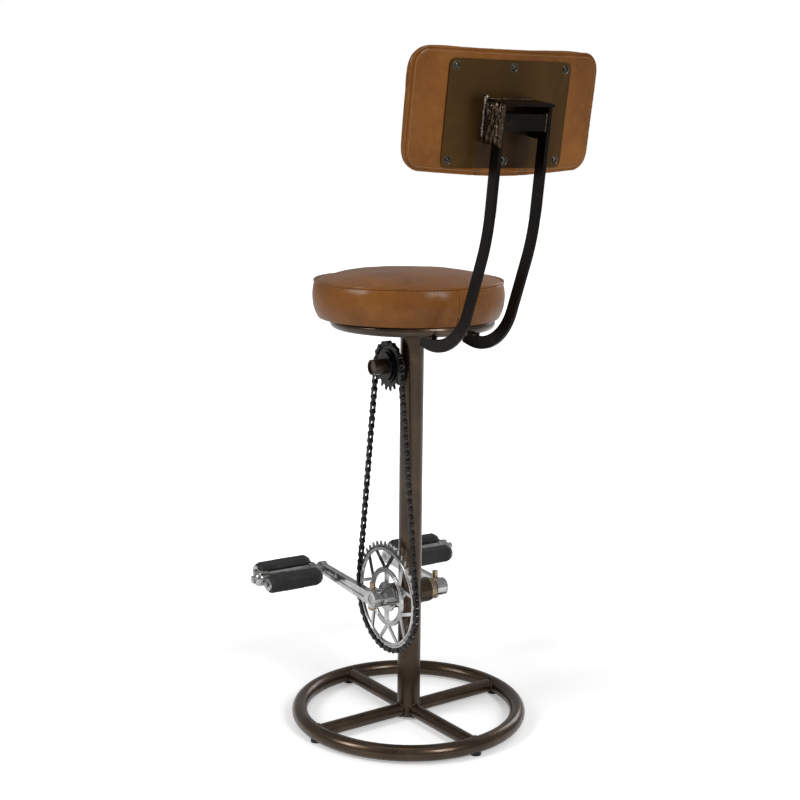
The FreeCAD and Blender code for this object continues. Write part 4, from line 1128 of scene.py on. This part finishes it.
def even(corners, count):
    """Points evenly spaced round a polygon, each of whose corners stays a point."""
    n = len(corners)
    lengths = [(corners[(i + 1) % n] - corners[i]).length for i in range(n)]
    total = sum(lengths)
    points = []
    for i in range(n):
        share = round(count * sum(lengths[:i + 1]) / total) - len(points)
        points += [corners[i].lerp(corners[(i + 1) % n], k / share) for k in range(share)]
    return points


def diamond(x, s):
    """Depth of the grooves between the tread's small pyramids."""
    u = (x + s) / TREAD_PITCH % 1.0
    v = (x - s) / TREAD_PITCH % 1.0
    return -TREAD_DEPTH * (1 - min(1.0, 2.6 * min(u, 1 - u, v, 1 - v)))


def rib(s):
    """Depth of the fine grooves along the middle of a block."""
    return -RIB_DEPTH if (s / RIB_PITCH) % 1.0 < 0.18 else 0.0


def pedals():
    """Both pedals' rubber blocks and hub caps."""
    for side, name in ((1, "left"), (-1, "right")):
        lo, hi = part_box(name + "_pedal_rubbers")
        start = lo[0] if side > 0 else hi[0]
        parts = [pedal_block(side, start, offset) for offset in (-BLOCK_OFFSET, BLOCK_OFFSET)]
        material = MATERIALS["black_rubber"]
        obj = joined_piece(name + "_pedal_blocks", parts, material, name + "_pedal")
        obj.data.set_sharp_from_angle(angle=math.radians(27))
        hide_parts(name + "_pedal_rubbers")
        pedal_hub(side, name)


def pedal_hub(side, name):
    """The bright domed cap and its nut on the outer end of a pedal."""
    lo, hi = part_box(name + "_pedal_outer_plate")
    face = (hi if side > 0 else lo)[0] - side * 0.2 * MM
    eye = mid(name + "_pedal_axle")
    parts = []
    for profile, sides in ((HUB_DOME, 48), (HUB_NUT, 6)):
        loops = lathe([(r * MM, side * h * MM) for r, h in profile], Vector((face, eye.y, eye.z)), X, sides)
        parts.append(rows(loops if side > 0 else loops[::-1]))
    obj = joined_piece(name + "_pedal_hub", parts, MATERIALS["chrome"], name + "_pedal")
    obj.data.set_sharp_from_angle(angle=math.radians(35))


# Chainring's stamped rings: inner radius, outer radius, height, all in mm
CHAINRING_BEADS = ((77.3, 82.2, 1.3), (41, 44.5, 0.8), (45.3, 48.6, 0.8))


def chainring_beads():
    """The raised rings on both faces of the chainring."""
    parts = []
    half = span("chainring").x / 2
    for side in (-1, 1):
        for inner, outer, height in CHAINRING_BEADS:
            profile = []
            for k in range(9):
                t = math.pi * k / 8
                r = (inner + outer) / 2 - (outer - inner) / 2 * math.cos(t)
                profile.append((r * MM, side * (half - 0.1 * MM + height * MM * math.sin(t))))
            loops = lathe(profile, BB, X, 160)
            parts.append(rows(loops if side < 0 else loops[::-1], capped=False))
    joined_piece("chainring_beads", parts, MATERIALS["chrome"], "crankset")


# CAD nodes: their material, and rounded edges with their radius in mm
EDGE_ROUNDS = {
    "bracket_flange": 0.5, "bracket_side_plates": 0.5,
    "back_arm_left": 0.9, "back_arm_right": 0.9, "arm_crossbar": 0.6, "back_plate": 0.4,
}


def dress_nodes():
    """Materials for the nodes that stay, and rounded edges for the flat bars and plates."""
    for name, obj in frame["nodes"].items():
        obj.data.materials.clear()
        obj.data.materials.append(MATERIALS[SLOT_OF[name]])
        if name in EDGE_ROUNDS:
            add_modifier(obj, "WELD", merge_threshold=0.00002)
            add_modifier(
                obj, "BEVEL", width=EDGE_ROUNDS[name] * MM, segments=2, limit_method="ANGLE",
                angle_limit=math.radians(35), harden_normals=False,
            )
            add_modifier(obj, "WEIGHTED_NORMAL", keep_sharp=True)


# Floor and light
WORLD_LIGHT = 0.3
GLOSSY_LIGHT = 0.38
FLOOR_HALF = 12.0
FLOOR_GREY = 0.88
GLOW_START = 0.45
GLOW_FULL = 1.3


def stage():
    """A white floor that keeps the stool's shadow and runs into the white behind it."""
    size = FLOOR_HALF
    corners = [(-size, -size, 0), (size, -size, 0), (size, size, 0), (-size, size, 0)]
    mesh = bpy.data.meshes.new("floor")
    mesh.from_pydata(corners, [], [(0, 1, 2, 3)])
    floor = bpy.data.objects.new("floor", mesh)
    bpy.context.collection.objects.link(floor)
    m = Nodes("floor")
    m.set(Base_Color=(FLOOR_GREY, FLOOR_GREY, FLOOR_GREY, 1), Roughness=0.9, Specular_IOR_Level=0.1)
    far = m.add("ShaderNodeVectorMath")
    far.operation = "LENGTH"
    m.link(m.coords, far.inputs[0])
    glow = m.grey(far.outputs["Value"], 0.32, 1.0, GLOW_START, GLOW_FULL)
    light = m.add("ShaderNodeMath")
    light.operation = "MULTIPLY"
    m.link(glow, light.inputs[0])
    m.link(seen(m.tree), light.inputs[1])
    m.set(Emission_Color=(1, 1, 1, 1))
    m.link(light.outputs[0], m.bsdf.inputs["Emission Strength"])
    mesh.materials.append(m.material)


def seen(tree):
    """1 for the camera's rays and those through glass, less for those that gloss sends on, otherwise 0."""
    path = tree.nodes.new("ShaderNodeLightPath")
    through = tree.nodes.new("ShaderNodeMath")
    through.operation = "MAXIMUM"
    tree.links.new(path.outputs["Is Camera Ray"], through.inputs[0])
    tree.links.new(path.outputs["Is Transmission Ray"], through.inputs[1])
    gloss = tree.nodes.new("ShaderNodeMath")
    gloss.operation = "MULTIPLY_ADD"
    gloss.use_clamp = True
    tree.links.new(path.outputs["Is Glossy Ray"], gloss.inputs[0])
    gloss.inputs[1].default_value = GLOSSY_LIGHT
    tree.links.new(through.outputs[0], gloss.inputs[2])
    return gloss.outputs[0]


def world():
    """White to the camera, less in reflections, and a weak even light on the stool."""
    data = bpy.data.worlds.new("world")
    bpy.context.scene.world = data
    data.use_nodes = True
    tree = data.node_tree
    background = tree.nodes["Background"]
    level = tree.nodes.new("ShaderNodeMath")
    level.operation = "MAXIMUM"
    level.inputs[0].default_value = WORLD_LIGHT
    tree.links.new(seen(tree), level.inputs[1])
    tree.links.new(level.outputs[0], background.inputs["Strength"])
    background.inputs["Color"].default_value = (1, 1, 1, 1)


# Name, place, width, height, watts
LIGHTS = (
    ("key_left", (2.6, -0.3, 2.1), 0.75, 1.3, 42),
    ("key_right", (-0.1, 2.6, 2.0), 0.75, 1.3, 42),
    ("front_fill", (-2.6, -0.9, 1.6), 1.2, 1.2, 16),
    ("overhead", (0.1, 0.1, 2.9), 1.6, 1.6, 8),
)
LIGHT_TARGET = (0, 0, 0.6)


def area_light(name, place, width, height, power):
    data = bpy.data.lights.new(name, "AREA")
    data.shape = "RECTANGLE"
    data.size = width
    data.size_y = height
    data.energy = power
    light = bpy.data.objects.new(name, data)
    bpy.context.collection.objects.link(light)
    light.location = place
    light.rotation_euler = (Vector(LIGHT_TARGET) - Vector(place)).to_track_quat("-Z", "Y").to_euler()


make_camera()
cover = seat_cushion()
seat_piping()
seat_band_seam(cover)
backrest_cushion()
backrest_back()
backrest_welt()
back_screws()
base_welds()
drive_welds()
bracket_welds()
crossbar_welds()
arm_welds()
pedals()
chainring_beads()
dress_nodes()
stage()
world()
for light in LIGHTS:
    area_light(*light)
bpy.context.scene.view_settings.view_transform = "Standard"
